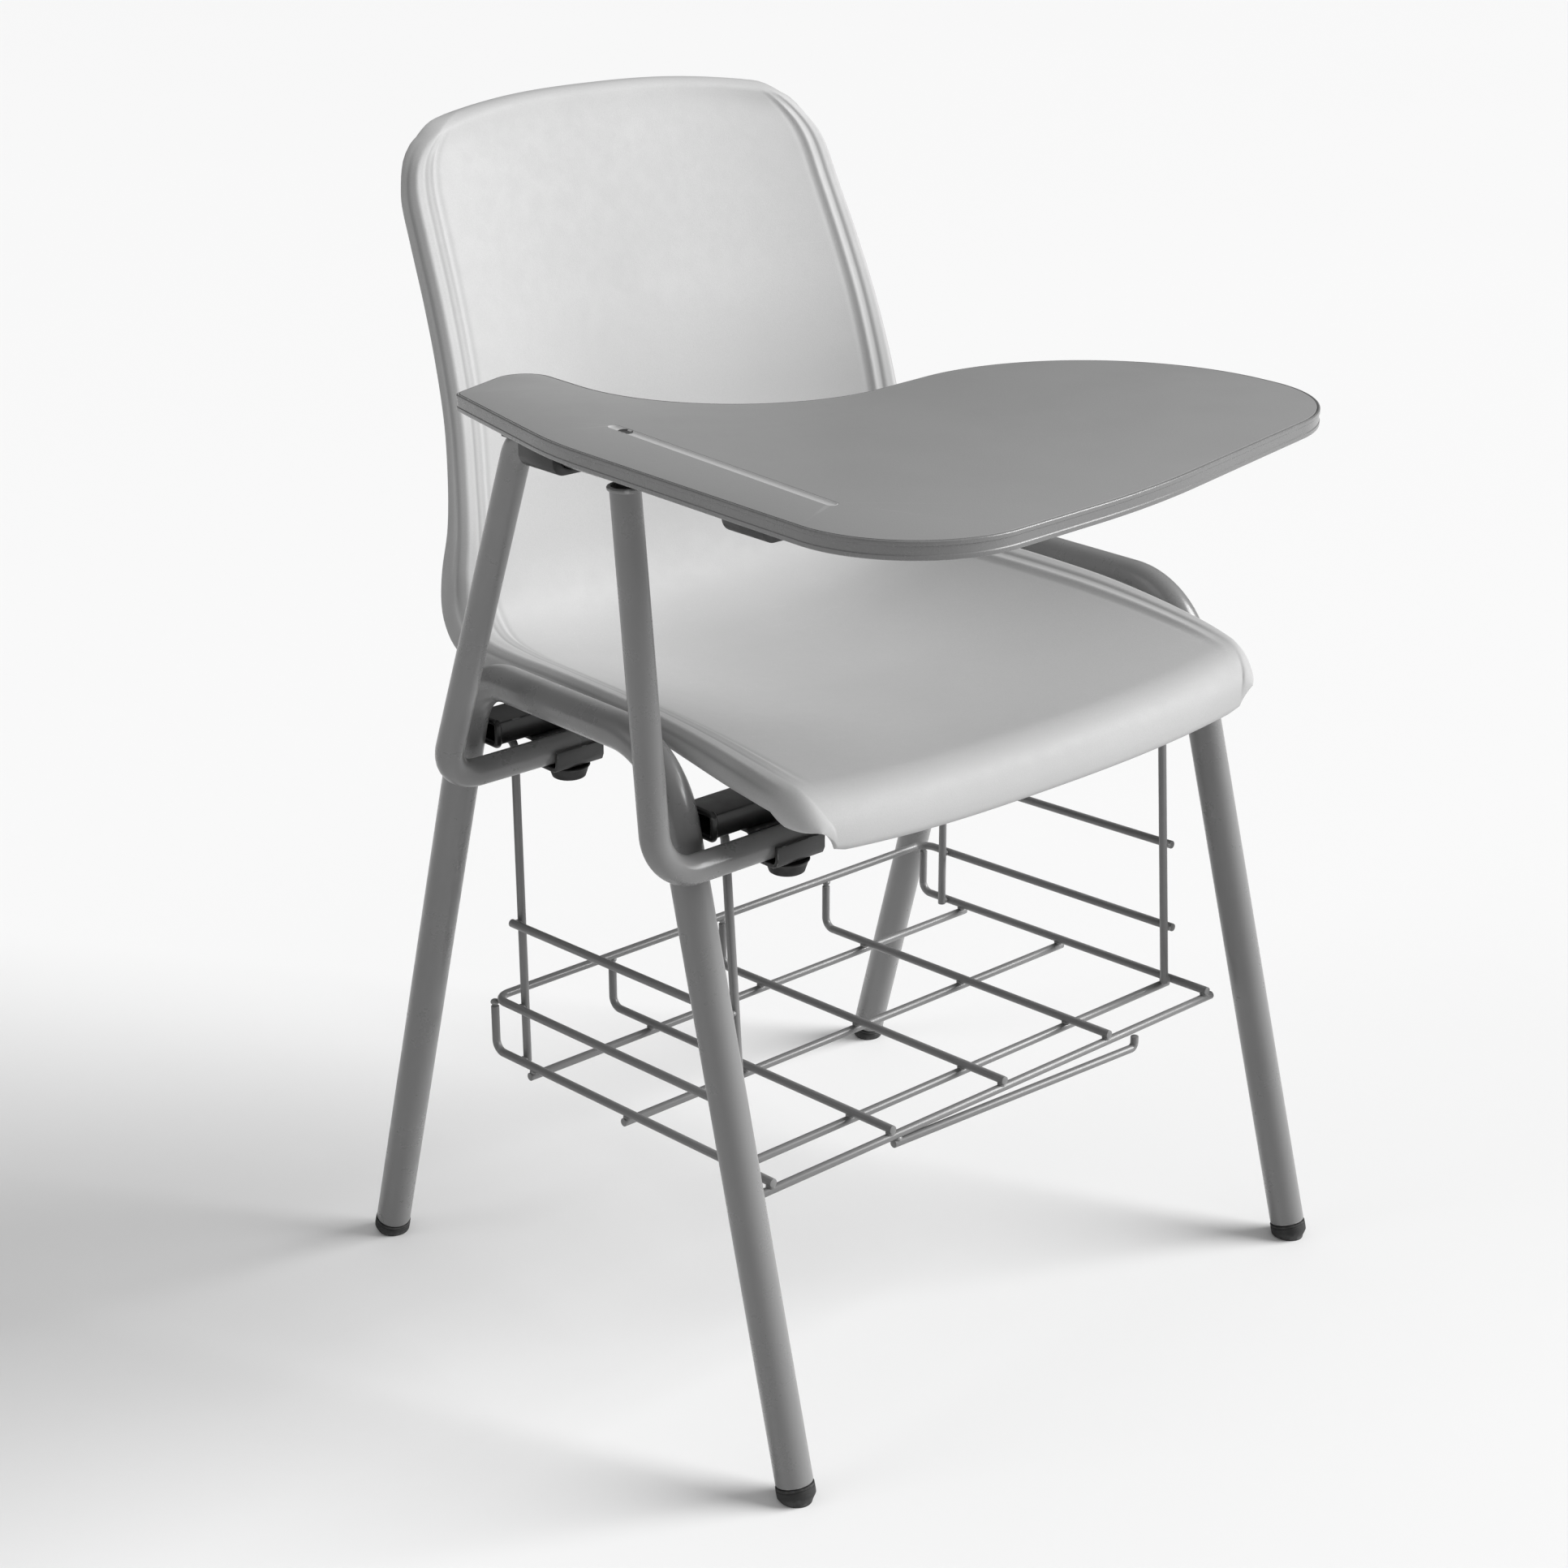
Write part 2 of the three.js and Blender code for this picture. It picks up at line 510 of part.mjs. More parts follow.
const rimAt = (x, y) => v3(x, y, floorZ(y) + BASKET.rimRise);
const rimCorners = [
  rimAt(sideX, BASKET.rimFront), rimAt(sideX, BASKET.rearY),
  rimAt(-sideX, BASKET.rearY), rimAt(-sideX, BASKET.rimFront),
];
add('basket_rim', wire(rimCorners, [BASKET.rimBend, BASKET.rimBend], 5), MAT.wire);

for (const [sideName, side] of [['left', 1], ['right', -1]]) {
  const guardAt = (y) => v3(side * sideX, y, floorZ(y) + BASKET.guardRise);
  add(`guard_rod_${sideName}`, wire(BASKET.guardEnds.map(guardAt), []), MAT.wire);
  const x = side * (sideX - layer - 0.1);
  ['front', 'rear'].forEach((endName, i) => {
    const footY = BASKET.hangerFootY[i];
    const corners = [
      v3(x, footY, floorZ(footY) - 2),
      v3(x, BASKET.hangerTopY[i], BASKET.hangerTopZ),
      v3(x, BASKET.hangerEndY[i], BASKET.hangerTopZ),
    ];
    add(`hanger_${endName}_${sideName}`, wire(corners, [BASKET.hangerBend]), MAT.wire);
  });
}

const lipTop = floorZ(BASKET.frontY) - 2 * layer;
const lipAt = (x, z) => v3(x, BASKET.frontY, z);
const lipCorners = [
  lipAt(BASKET.lip.from, lipTop), lipAt(BASKET.lip.to, lipTop - BASKET.lip.drop),
  lipAt(BASKET.lip.to, lipTop),
];
add('front_lip_rod', wire(lipCorners, [BASKET.lip.bend], 3), MAT.wire);

// ---------------------------------------------------------------- the whole chair
const whole = new THREE.Group();
chair.position.set(-PLAN_CENTRE.x, -PLAN_CENTRE.y, 0);
whole.add(chair);
export default whole;
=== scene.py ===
"""Student desk chair: a moulded one-piece seat on a bent-tube frame, with a wire book basket
under the seat and a writing tablet that flips up on the sitter's right.

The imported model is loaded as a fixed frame, and finer pieces with their finishes are built
round it. Lengths in the classes are millimetres unless a docstring says otherwise, measured
from the middle of the four feet, where x = 0 is the seat's mid-plane.
"""
import logging
import math
from collections.abc import Callable, Iterable, Sequence
from dataclasses import dataclass, field
from enum import Enum

import bmesh
import bpy
import numpy as np
from mathutils import Matrix, Quaternion, Vector


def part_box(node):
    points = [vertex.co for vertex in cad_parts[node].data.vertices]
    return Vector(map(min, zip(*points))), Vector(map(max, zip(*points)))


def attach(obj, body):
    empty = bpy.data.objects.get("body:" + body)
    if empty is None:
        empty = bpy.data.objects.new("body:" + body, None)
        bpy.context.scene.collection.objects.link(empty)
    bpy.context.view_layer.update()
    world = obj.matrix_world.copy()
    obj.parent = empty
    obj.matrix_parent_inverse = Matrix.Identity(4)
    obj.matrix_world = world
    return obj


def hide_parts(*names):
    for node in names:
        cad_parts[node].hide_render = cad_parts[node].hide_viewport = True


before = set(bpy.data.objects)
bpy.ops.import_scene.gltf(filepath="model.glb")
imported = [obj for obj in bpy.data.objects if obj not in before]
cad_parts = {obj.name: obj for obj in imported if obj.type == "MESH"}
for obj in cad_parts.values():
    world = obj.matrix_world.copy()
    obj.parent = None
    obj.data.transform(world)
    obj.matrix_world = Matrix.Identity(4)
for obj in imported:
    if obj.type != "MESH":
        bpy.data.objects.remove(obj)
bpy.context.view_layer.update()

MM = 0.001
SMOOTH_ANGLE = math.radians(32)
# Widest face, in metres, that counts as part of a rounded edge.
WORN_STRIP = 0.9 * MM
PALEST = 0.9
EDGE_ATTRIBUTE = "edge_wear"
# Groove depth at each point, 0 to 1. The finishes darken the colour there as painted shade in the grooves.
GROOVE_SHADE_ATTRIBUTE = "groove_painted_shade"

logging.basicConfig(level=logging.INFO, format="%(levelname)s %(message)s")
log = logging.getLogger("desk_chair")


class Body(Enum):
    """The rigid bodies that pieces ride on."""

    CHAIR = "chair"
    TABLET = "tablet"


class Slot(Enum):
    """The material slots that pieces take their finishes from."""

    SHELL = "shell"
    FRAME = "frame_paint"
    WIRE = "wire"
    BLACK = "black_paint"
    RUBBER = "rubber"
    PLASTIC = "black_plastic"
    STEEL = "steel"
    BOARD = "board"
    BAND = "band"


# ------------------------------------------------------------------------------ finishes


class Recipe:
    """A material's node tree, with short calls for the nodes that the finishes share."""

    def __init__(self, name: str) -> None:
        """Starts an empty tree with a Principled shader on its output.

        Args:
            name: the material's name.
        """
        self.material = bpy.data.materials.new(name)
        self.material.use_nodes = True
        self.tree = self.material.node_tree
        self.tree.nodes.clear()
        self.shader = self.add("ShaderNodeBsdfPrincipled")
        output = self.add("ShaderNodeOutputMaterial")
        self.tree.links.new(self.shader.outputs["BSDF"], output.inputs["Surface"])
        self.place = self.add("ShaderNodeTexCoord").outputs["Object"]

    def add(self, kind: str, **settings: object) -> bpy.types.Node:
        """Adds a node and sets its properties.

        Args:
            kind: the node's type name.
            settings: properties to set on it.

        Returns:
            The node.
        """
        node = self.tree.nodes.new(kind)
        for key, value in settings.items():
            setattr(node, key, value)
        return node

    def put(self, node: bpy.types.Node, **inputs: object) -> bpy.types.Node:
        """Sets or links a node's inputs by name, with underscores for spaces.

        Args:
            node: the node.
            inputs: a number, a colour, or another node's output for each input.

        Returns:
            The same node.
        """
        for key, value in inputs.items():
            socket = node.inputs[key.replace("_", " ")]
            if isinstance(value, bpy.types.NodeSocket):
                self.tree.links.new(value, socket)
            else:
                socket.default_value = value
        return node

    def stretched(self, scale: Sequence[float], turn: Sequence[float] = (0, 0, 0)) -> bpy.types.NodeSocket:
        """Object coordinates turned and then scaled by axis, for streaks and scratches.

        Args:
            scale: scale along x, y and z.
            turn: turn about x, y and z, in degrees.

        Returns:
            The vector output.
        """
        mapping = self.add("ShaderNodeMapping", vector_type="TEXTURE")
        self.put(mapping, Vector=self.place)
        mapping.inputs["Rotation"].default_value = [math.radians(a) for a in turn]
        mapping.inputs["Scale"].default_value = [1 / s for s in scale]
        return mapping.outputs["Vector"]

    def noise(self, scale: float, detail: float = 3, vector: bpy.types.NodeSocket | None = None,
              roughness: float = 0.5) -> bpy.types.NodeSocket:
        """Fractal noise from 0 to 1.

        Args:
            scale: cells per metre.
            detail: octaves.
            vector: coordinates, or None for Object coordinates.
            roughness: how strong the finer octaves are.

        Returns:
            The factor output.
        """
        node = self.add("ShaderNodeTexNoise")
        self.put(node, Vector=vector or self.place, Scale=scale, Detail=detail, Roughness=roughness)
        return node.outputs["Fac"]

    def cells(self, scale: float, smooth: float = 0.6) -> bpy.types.NodeSocket:
        """Rounded cell pattern, for a pebble grain.

        Args:
            scale: cells per metre.
            smooth: how far the cells' borders are rounded.

        Returns:
            The distance output.
        """
        node = self.add("ShaderNodeTexVoronoi", feature="SMOOTH_F1")
        self.put(node, Vector=self.place, Scale=scale, Smoothness=smooth)
        return node.outputs["Distance"]

    def spread(self, value: bpy.types.NodeSocket, low: float, high: float, to_low: float = 0,
               to_high: float = 1) -> bpy.types.NodeSocket:
        """Maps a range of values onto another, clamped and eased.

        Args:
            value: the value.
            low: value that maps to to_low.
            high: value that maps to to_high.
            to_low: result at low.
            to_high: result at high.

        Returns:
            The result output.
        """
        node = self.add("ShaderNodeMapRange", interpolation_type="SMOOTHSTEP")
        self.put(node, Value=value, From_Min=low, From_Max=high, To_Min=to_low, To_Max=to_high)
        return node.outputs["Result"]

    def math(self, operation: str, a: object, b: object) -> bpy.types.NodeSocket:
        """One arithmetic step on two values.

        Args:
            operation: the Math node's operation.
            a: the first value, a number or an output.
            b: the second value.

        Returns:
            The value output.
        """
        node = self.add("ShaderNodeMath", operation=operation)
        for socket, value in zip(node.inputs, (a, b)):
            if isinstance(value, bpy.types.NodeSocket):
                self.tree.links.new(value, socket)
            else:
                socket.default_value = value
        return node.outputs["Value"]

    def blend(self, factor: bpy.types.NodeSocket, a: object, b: object) -> bpy.types.NodeSocket:
        """Mixes two greys or colours.

        Args:
            factor: 0 for a, 1 for b.
            a: a grey value or a colour output.
            b: a grey value or a colour output.

        Returns:
            The colour output.
        """
        node = self.add("ShaderNodeMix", data_type="RGBA")
        sockets = [s for s in node.inputs if s.enabled]
        self.tree.links.new(factor, sockets[0])
        for socket, value in zip(sockets[1:], (a, b)):
            if isinstance(value, bpy.types.NodeSocket):
                self.tree.links.new(value, socket)
            else:
                socket.default_value = grey(value)
        return [s for s in node.outputs if s.enabled][0]

    def attribute(self, name: str) -> bpy.types.NodeSocket:
        """A value stored on the mesh's points.

        Args:
            name: the attribute's name.

        Returns:
            The factor output.
        """
        node = self.add("ShaderNodeAttribute", attribute_name=name, attribute_type="GEOMETRY")
        return node.outputs["Fac"]

    def height(self) -> bpy.types.NodeSocket:
        """Object z in metres."""
        node = self.put(self.add("ShaderNodeSeparateXYZ"), Vector=self.place)
        return node.outputs["Z"]

    def bump(self, layers: Iterable[tuple[bpy.types.NodeSocket, float]]) -> None:
        """Stacks bump layers and links them to the shader.

        Args:
            layers: pairs of a height pattern and its depth in millimetres.
        """
        below = None
        for pattern, depth in layers:
            node = self.put(self.add("ShaderNodeBump"), Height=pattern, Strength=1.0, Distance=depth * MM)
            if below is not None:
                self.put(node, Normal=below)
            below = node.outputs["Normal"]
        self.put(self.shader, Normal=below)

    def scratches(self, turns: Sequence[float], density: float, spacing: float) -> bpy.types.NodeSocket:
        """Fine straight marks in a few directions.

        Args:
            turns: directions of the marks about z, in degrees.
            density: share of the surface under marks, about 0 to 0.2.
            spacing: cells per metre across the marks.

        Returns:
            The mark strength, 0 to 1.
        """
        marks = None
        for turn in turns:
            lines = self.noise(1.0, 2, self.stretched((spacing, spacing / 60, spacing), (0, 0, turn)), 0.6)
            line = self.spread(lines, 0.72 - density, 0.78 - density)
            marks = line if marks is None else self.math("MAXIMUM", marks, line)
        patches = self.spread(self.noise(9, 3), 0.42, 0.68)
        return self.math("MULTIPLY", marks, patches)

    def wash(self, base: bpy.types.NodeSocket, mask: bpy.types.NodeSocket, share: float,
             tone: float) -> bpy.types.NodeSocket:
        """Lays a thin coat of another tone over a base.

        Args:
            base: the tone underneath.
            mask: where the coat lies, 0 to 1.
            share: how much of the base it covers there, 0 to 1.
            tone: the coat's own tone.

        Returns:
            The tone of both together.
        """
        return self.blend(self.math("MULTIPLY", mask, share), base, tone)


def grey(value: float) -> tuple[float, float, float, float]:
    """A neutral colour.

    Args:
        value: linear brightness, 0 to 1.

    Returns:
        Red, green, blue and alpha.
    """
    return (value, value, value, 1.0)


def lighter(tone: float, factor: float) -> float:
    """A tone rubbed lighter, and never past the palest a finish may be."""
    return min(tone * factor, PALEST)


@dataclass(frozen=True)
class MouldedPlastic:
    """Injection-moulded plastic with a fine pebble grain, slow flow marks and hand rubbing."""

    name: str
    tone: float
    roughness: float = 0.4
    grain: float = 1500
    grain_depth: float = 0.035
    scuffs: float = 0.06
    gloss: float = 0.5

    def make(self) -> bpy.types.Material:
        """Builds the material."""
        r = Recipe(self.name)
        flow = r.noise(5.5, 4)
        speckle = r.noise(900, 2)
        tone = r.blend(r.spread(flow, 0.3, 0.7), self.tone * 0.965, self.tone * 1.03)
        tone = r.blend(r.spread(speckle, 0.35, 0.75, 0, 0.5), tone, self.tone * 0.93)
        marks = r.scratches((18, -35, 78), self.scuffs, 900)
        tone = r.wash(tone, marks, 0.35, lighter(self.tone, 1.25))
        # Painted shade: darkens the colour where the mesh marks a groove, more the deeper it lies.
        tone = r.wash(tone, r.attribute(GROOVE_SHADE_ATTRIBUTE), 0.55, self.tone * 0.45)
        worn = r.math("MULTIPLY", r.attribute(EDGE_ATTRIBUTE), r.spread(r.noise(60, 4), 0.4, 0.65))
        tone = r.wash(tone, worn, 0.4, lighter(self.tone, 1.3))
        rough = r.spread(r.noise(90, 4, roughness=0.6), 0.3, 0.7, self.roughness - 0.03,
                         self.roughness + 0.03)
        rough = r.math("ADD", rough, r.math("MULTIPLY", marks, 0.08))
        r.put(r.shader, Base_Color=tone, Roughness=rough, IOR=1.5)
        r.shader.inputs["Specular IOR Level"].default_value = self.gloss
        r.bump([(r.noise(9, 1), 0.12), (r.cells(self.grain), self.grain_depth), (marks, -0.01)])
        return r.material


@dataclass(frozen=True)
class PowderCoat:
    """Sprayed and baked paint on steel: orange peel, dust nibs, rubbed edges and small chips."""

    name: str
    tone: float
    roughness: float = 0.3
    metallic: float = 0.0
    coat: float = 0.25
    peel: float = 420
    chips: float = 0.5
    chip_tone: float = 0.5

    def make(self) -> bpy.types.Material:
        """Builds the material."""
        r = Recipe(self.name)
        tone = r.blend(r.spread(r.noise(12, 4), 0.3, 0.7), self.tone * 0.97, self.tone * 1.03)
        nibs = r.spread(r.noise(1300, 1), 0.7, 0.82)
        tone = r.wash(tone, nibs, 0.5, self.tone * 0.75)
        rubs = r.spread(r.noise(1.0, 4, r.stretched((420, 420, 60)), 0.7), 0.66, 0.8)
        patches = r.spread(r.noise(11, 2), 0.5, 0.7)
        rub = r.math("MULTIPLY", rubs, patches)
        tone = r.wash(tone, rub, 0.12, lighter(self.tone, 1.4))
        chip = r.math("MULTIPLY", r.attribute(EDGE_ATTRIBUTE), r.spread(r.noise(170, 5), 0.5, 0.62))
        tone = r.wash(tone, chip, self.chips, self.chip_tone)
        rough = r.spread(r.noise(35, 5, roughness=0.7), 0.3, 0.7, self.roughness - 0.05,
                         self.roughness + 0.07)
        rough = r.math("ADD", rough, r.math("MULTIPLY", rub, 0.16))
        r.put(r.shader, Base_Color=tone, Roughness=rough, Metallic=self.metallic)
        r.shader.inputs["Coat Weight"].default_value = self.coat
        r.shader.inputs["Coat Roughness"].default_value = 0.14
        r.bump([(r.noise(self.peel, 2), 0.022), (nibs, 0.02), (rub, -0.008), (chip, -0.03)])
        return r.material


@dataclass(frozen=True)
class SoftRubber:
    """Black rubber or soft plastic that greys with floor dust towards its sole."""

    name: str
    tone: float = 0.013
    roughness: float = 0.62
    dust_tone: float = 0.12
    dust_height: float = 0.006

    def make(self) -> bpy.types.Material:
        """Builds the material."""
        r = Recipe(self.name)
        tone = r.blend(r.spread(r.noise(60, 4), 0.3, 0.7), self.tone * 0.8, self.tone * 1.3)
        low = r.spread(r.height(), 0.0, self.dust_height, 1, 0)
        dust = r.math("MULTIPLY", low, r.spread(r.noise(240, 5, roughness=0.7), 0.35, 0.65))
        worn = r.math("MULTIPLY", r.attribute(EDGE_ATTRIBUTE), r.spread(r.noise(320, 4), 0.4, 0.65))
        tone = r.wash(tone, dust, 0.5, self.dust_tone)
        tone = r.wash(tone, worn, 0.35, self.dust_tone * 0.7)
        rough = r.spread(r.noise(130, 4), 0.3, 0.7, self.roughness - 0.08, self.roughness + 0.12)
        r.put(r.shader, Base_Color=tone, Roughness=rough)
        r.bump([(r.noise(700, 3), 0.02), (r.cells(2200), 0.015)])
        return r.material


@dataclass(frozen=True)
class PlatedSteel:
    """Zinc-plated screws with turning marks and dull spots."""

    name: str
    tone: float = 0.5
    roughness: float = 0.32

    def make(self) -> bpy.types.Material:
        """Builds the material."""
        r = Recipe(self.name)
        tone = r.blend(r.spread(r.noise(300, 4), 0.35, 0.7), self.tone, self.tone * 0.72)
        dull = r.spread(r.noise(900, 3), 0.55, 0.7)
        tone = r.wash(tone, dull, 0.4, self.tone * 0.5)
        rough = r.spread(r.noise(700, 4), 0.3, 0.7, self.roughness - 0.08, self.roughness + 0.16)
        r.put(r.shader, Base_Color=tone, Roughness=rough, Metallic=1.0)
        r.bump([(r.noise(1.0, 2, r.stretched((3000, 500, 3000))), 0.006), (dull, -0.01)])
        return r.material


@dataclass(frozen=True)
class WritingSurface:
    """Hard tablet plastic: leathery micro grain, polished patches and pen scratches."""

    name: str
    tone: float
    roughness: float = 0.42

    def make(self) -> bpy.types.Material:
        """Builds the material."""
        r = Recipe(self.name)
        tone = r.blend(r.spread(r.noise(7, 5, roughness=0.6), 0.3, 0.7), self.tone * 0.985, self.tone * 1.015)
        tone = r.blend(r.spread(r.noise(1400, 2), 0.4, 0.75, 0, 0.6), tone, self.tone * 0.9)
        marks = r.scratches((8, 52, -24, 96), 0.05, 1100)
        tone = r.wash(tone, marks, 0.3, lighter(self.tone, 1.35))
        # Painted shade: darkens the colour in the pen groove, where the mesh marks it.
        tone = r.wash(tone, r.attribute(GROOVE_SHADE_ATTRIBUTE), 0.5, self.tone * 0.4)
        worn = r.math("MULTIPLY", r.attribute(EDGE_ATTRIBUTE), r.spread(r.noise(45, 4), 0.3, 0.6))
        tone = r.wash(tone, worn, 0.5, lighter(self.tone, 1.4))
        polish = r.spread(r.noise(24, 3), 0.4, 0.7, self.roughness + 0.025, self.roughness - 0.025)
        rough = r.math("ADD", polish, r.math("MULTIPLY", marks, 0.12))
        r.put(r.shader, Base_Color=tone, Roughness=rough, IOR=1.5)
        r.bump([(r.cells(1100), 0.03), (r.noise(2600, 2), 0.012), (marks, -0.012)])
        return r.material


class Finishes:
    """Every finish on the chair, made once."""

    def __init__(self) -> None:
        """Builds the materials."""
        self.by_slot = {
            Slot.SHELL: MouldedPlastic("light_grey_shell", 0.42, 0.58, gloss=0.35).make(),
            Slot.FRAME: PowderCoat("grey_tube_paint", 0.19, 0.3, coat=0.12).make(),
            Slot.WIRE: PowderCoat("grey_wire_paint", 0.17, 0.33, coat=0.1, chips=0.3).make(),
            Slot.BLACK: PowderCoat("black_bracket_paint", 0.018, 0.36, coat=0.1, chip_tone=0.3).make(),
            Slot.RUBBER: SoftRubber("black_rubber").make(),
            Slot.PLASTIC: MouldedPlastic("black_clamp_plastic", 0.02, 0.42, 1800, 0.03, 0.04).make(),
            Slot.STEEL: PlatedSteel("zinc_screws").make(),
            Slot.BOARD: WritingSurface("grey_writing_surface", 0.26, 0.5).make(),
            Slot.BAND: MouldedPlastic("dark_edge_band", 0.17, 0.26, 2200, 0.01, 0.05).make(),
        }

    def of(self, slot: Slot) -> bpy.types.Material:
        """The material of a slot."""
        return self.by_slot[slot]


# ------------------------------------------------------------------------------ drawing tools


@dataclass(frozen=True)
class Layout:
    """Puts lengths in millimetres, from the middle of the four feet, into the row frame."""

    origin: Vector

    @classmethod
    def from_frame(cls) -> "Layout":
        """Finds the middle of the feet from the leg loops.

        Returns:
            The layout.
        """
        corners = [*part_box("leg_frame_left"), *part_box("leg_frame_right")]
        lows = [min(c[axis] for c in corners) for axis in (0, 1)]
        highs = [max(c[axis] for c in corners) for axis in (0, 1)]
        return cls(Vector(((lows[0] + highs[0]) / 2, (lows[1] + highs[1]) / 2, 0)))

    def point(self, x: float, y: float, z: float) -> Vector:
        """A point of the row frame, in metres."""
        return self.origin + Vector((x, y, z)) * MM


@dataclass
class Sweep:
    """Draws a section, or a single point, along straights and round bends.

    Straights are extruded and bends are spun about their own centre.
    """

    bm: bmesh.types.BMesh
    at: Vector
    heading: Vector
    front: list = field(default_factory=list)

    @classmethod
    def of_circle(cls, bm: bmesh.types.BMesh, at: Vector, heading: Vector, radius: float,
                  sides: int) -> "Sweep":
        """Starts a round bar.

        Args:
            bm: mesh to draw in.
            at: centre of the start, in metres.
            heading: direction of the first straight.
            radius: the bar's radius in metres.
            sides: sides of the section.

        Returns:
            The sweep.
        """
        turn = heading.to_track_quat("Z", "X").to_matrix().to_4x4()
        made = bmesh.ops.create_circle(bm, cap_ends=False, segments=sides, radius=radius,
                                       matrix=Matrix.Translation(at) @ turn)
        edges = {e for v in made["verts"] for e in v.link_edges}
        return cls(bm, at.copy(), heading.normalized(), [*made["verts"], *edges])

    @classmethod
    def of_point(cls, bm: bmesh.types.BMesh, at: Vector, heading: Vector) -> "Sweep":
        """Starts a line."""
        return cls(bm, at.copy(), heading.normalized(), [bm.verts.new(at)])

    def forward(self, distance: float) -> None:
        """Extrudes the front straight ahead.

        Args:
            distance: how far, in metres.
        """
        edges = [g for g in self.front if isinstance(g, bmesh.types.BMEdge)]
        if edges:
            self.front = bmesh.ops.extrude_edge_only(self.bm, edges=edges)["geom"]
            self.front = [g for g in self.front if not isinstance(g, bmesh.types.BMFace)]
        else:
            self.front = bmesh.ops.extrude_vert_indiv(self.bm, verts=self.front)["verts"]
        verts = [g for g in self.front if isinstance(g, bmesh.types.BMVert)]
        bmesh.ops.translate(self.bm, verts=verts, vec=self.heading * distance)
        self.at = self.at + self.heading * distance

    def bend(self, heading: Vector, radius: float, steps: int) -> None:
        """Spins the front round a bend until it faces a new heading.

        Args:
            heading: the new heading.
            radius: radius of the centre-line in metres.
            steps: steps round the bend.
        """
        new = heading.normalized()
        axis = self.heading.cross(new).normalized()
        centre = self.at + axis.cross(self.heading) * radius
        angle = self.heading.angle(new)
        self.front = bmesh.ops.spin(self.bm, geom=self.front, cent=centre, axis=axis, angle=angle,
                                    steps=steps, use_duplicate=False)["geom_last"]
        self.at = centre + Quaternion(axis, angle) @ (self.at - centre)
        self.heading = new

    def follow(self, corners: Sequence[Vector], radii: Sequence[float], step_angle: float = 6.0) -> None:
        """Goes from the present place through corners, rounding all but the last.

        Args:
            corners: the corners still ahead, in metres.
            radii: bend radius at each corner but the last, in metres.
            step_angle: degrees for each step round a bend.
        """
        for i, corner in enumerate(corners):
            reach = (corner - self.at).length
            if i == len(corners) - 1:
                self.forward(reach)
                return
            out = (corners[i + 1] - corner).normalized()
            turn = self.heading.angle(out)
            back = radii[i] * math.tan(turn / 2)
            self.forward(reach - back)
            self.bend(out, radii[i], max(2, round(math.degrees(turn) / step_angle)))


def edges_in(geometry: Iterable) -> list[bmesh.types.BMEdge]:
    """The edges in a mixed list of mesh elements."""
    return [g for g in geometry if isinstance(g, bmesh.types.BMEdge)]


def verts_in(geometry: Iterable) -> list[bmesh.types.BMVert]:
    """The points in a mixed list of mesh elements."""
    return [g for g in geometry if isinstance(g, bmesh.types.BMVert)]


def faces_in(geometry: Iterable) -> list[bmesh.types.BMFace]:
    """The faces in a mixed list of mesh elements."""
    return [g for g in geometry if isinstance(g, bmesh.types.BMFace)]


def round_edges(bm: bmesh.types.BMesh, edges: Sequence[bmesh.types.BMEdge], offset: float,
                segments: int = 2) -> list[bmesh.types.BMFace]:
    """Rounds edges off.

    Args:
        bm: the mesh.
        edges: the edges.
        offset: width of the round in millimetres.
        segments: steps across the round.

    Returns:
        The faces of the round.
    """
    return bmesh.ops.bevel(bm, geom=list(edges), offset=offset * MM, offset_type="OFFSET", segments=segments,
                           profile=0.5, affect="EDGES", clamp_overlap=True, material=-1)["faces"]


def inset(bm: bmesh.types.BMesh, faces: list[bmesh.types.BMFace], width: float, depth: float = 0
          ) -> list[bmesh.types.BMFace]:
    """Insets a region of faces, at an open edge too.

    Args:
        bm: the mesh.
        faces: the region.
        width: width of the border that is left, in millimetres.
        depth: how far the region is raised, in millimetres.

    Returns:
        The border's faces.
    """
    made = bmesh.ops.inset_region(bm, faces=faces, thickness=width * MM, depth=depth * MM,
                                  use_boundary=True, use_even_offset=True)
    return made["faces"]


def bar(corners: Sequence[Vector], radii: Sequence[float], radius: float, sides: int = 32,
        step_angle: float = 6.0, wall: float | None = None) -> bmesh.types.BMesh:
    """A round bar or tube along corners with round bends.

    Args:
        corners: corners of the centre-line, in metres.
        radii: bend radii in millimetres, one for each inner corner.
        radius: radius of the bar in millimetres.
        sides: sides of the section.
        step_angle: degrees for each step round a bend.
        wall: wall thickness in millimetres where the ends are open, or None for closed ends.

    Returns:
        The mesh.
    """
    bm = bmesh.new()
    sweep = Sweep.of_circle(bm, corners[0], corners[1] - corners[0], radius * MM, sides)
    sweep.follow(corners[1:], [r * MM for r in radii], step_angle)
    rims = [e for e in bm.edges if e.is_boundary]
    caps = bmesh.ops.holes_fill(bm, edges=rims, sides=0)["faces"]
    bmesh.ops.recalc_face_normals(bm, faces=bm.faces)
    if wall is None:
        round_edges(bm, {e for f in caps for e in f.edges}, radius * 0.12, 2)
        return bm
    bmesh.ops.inset_individual(bm, faces=caps, thickness=wall * MM, depth=0)
    for cap in caps:
        inward = -cap.normal * radius * 3 * MM
        pushed = bmesh.ops.extrude_discrete_faces(bm, faces=[cap])["faces"]
        bmesh.ops.translate(bm, verts=list({v for f in pushed for v in f.verts}), vec=inward)
    return bm


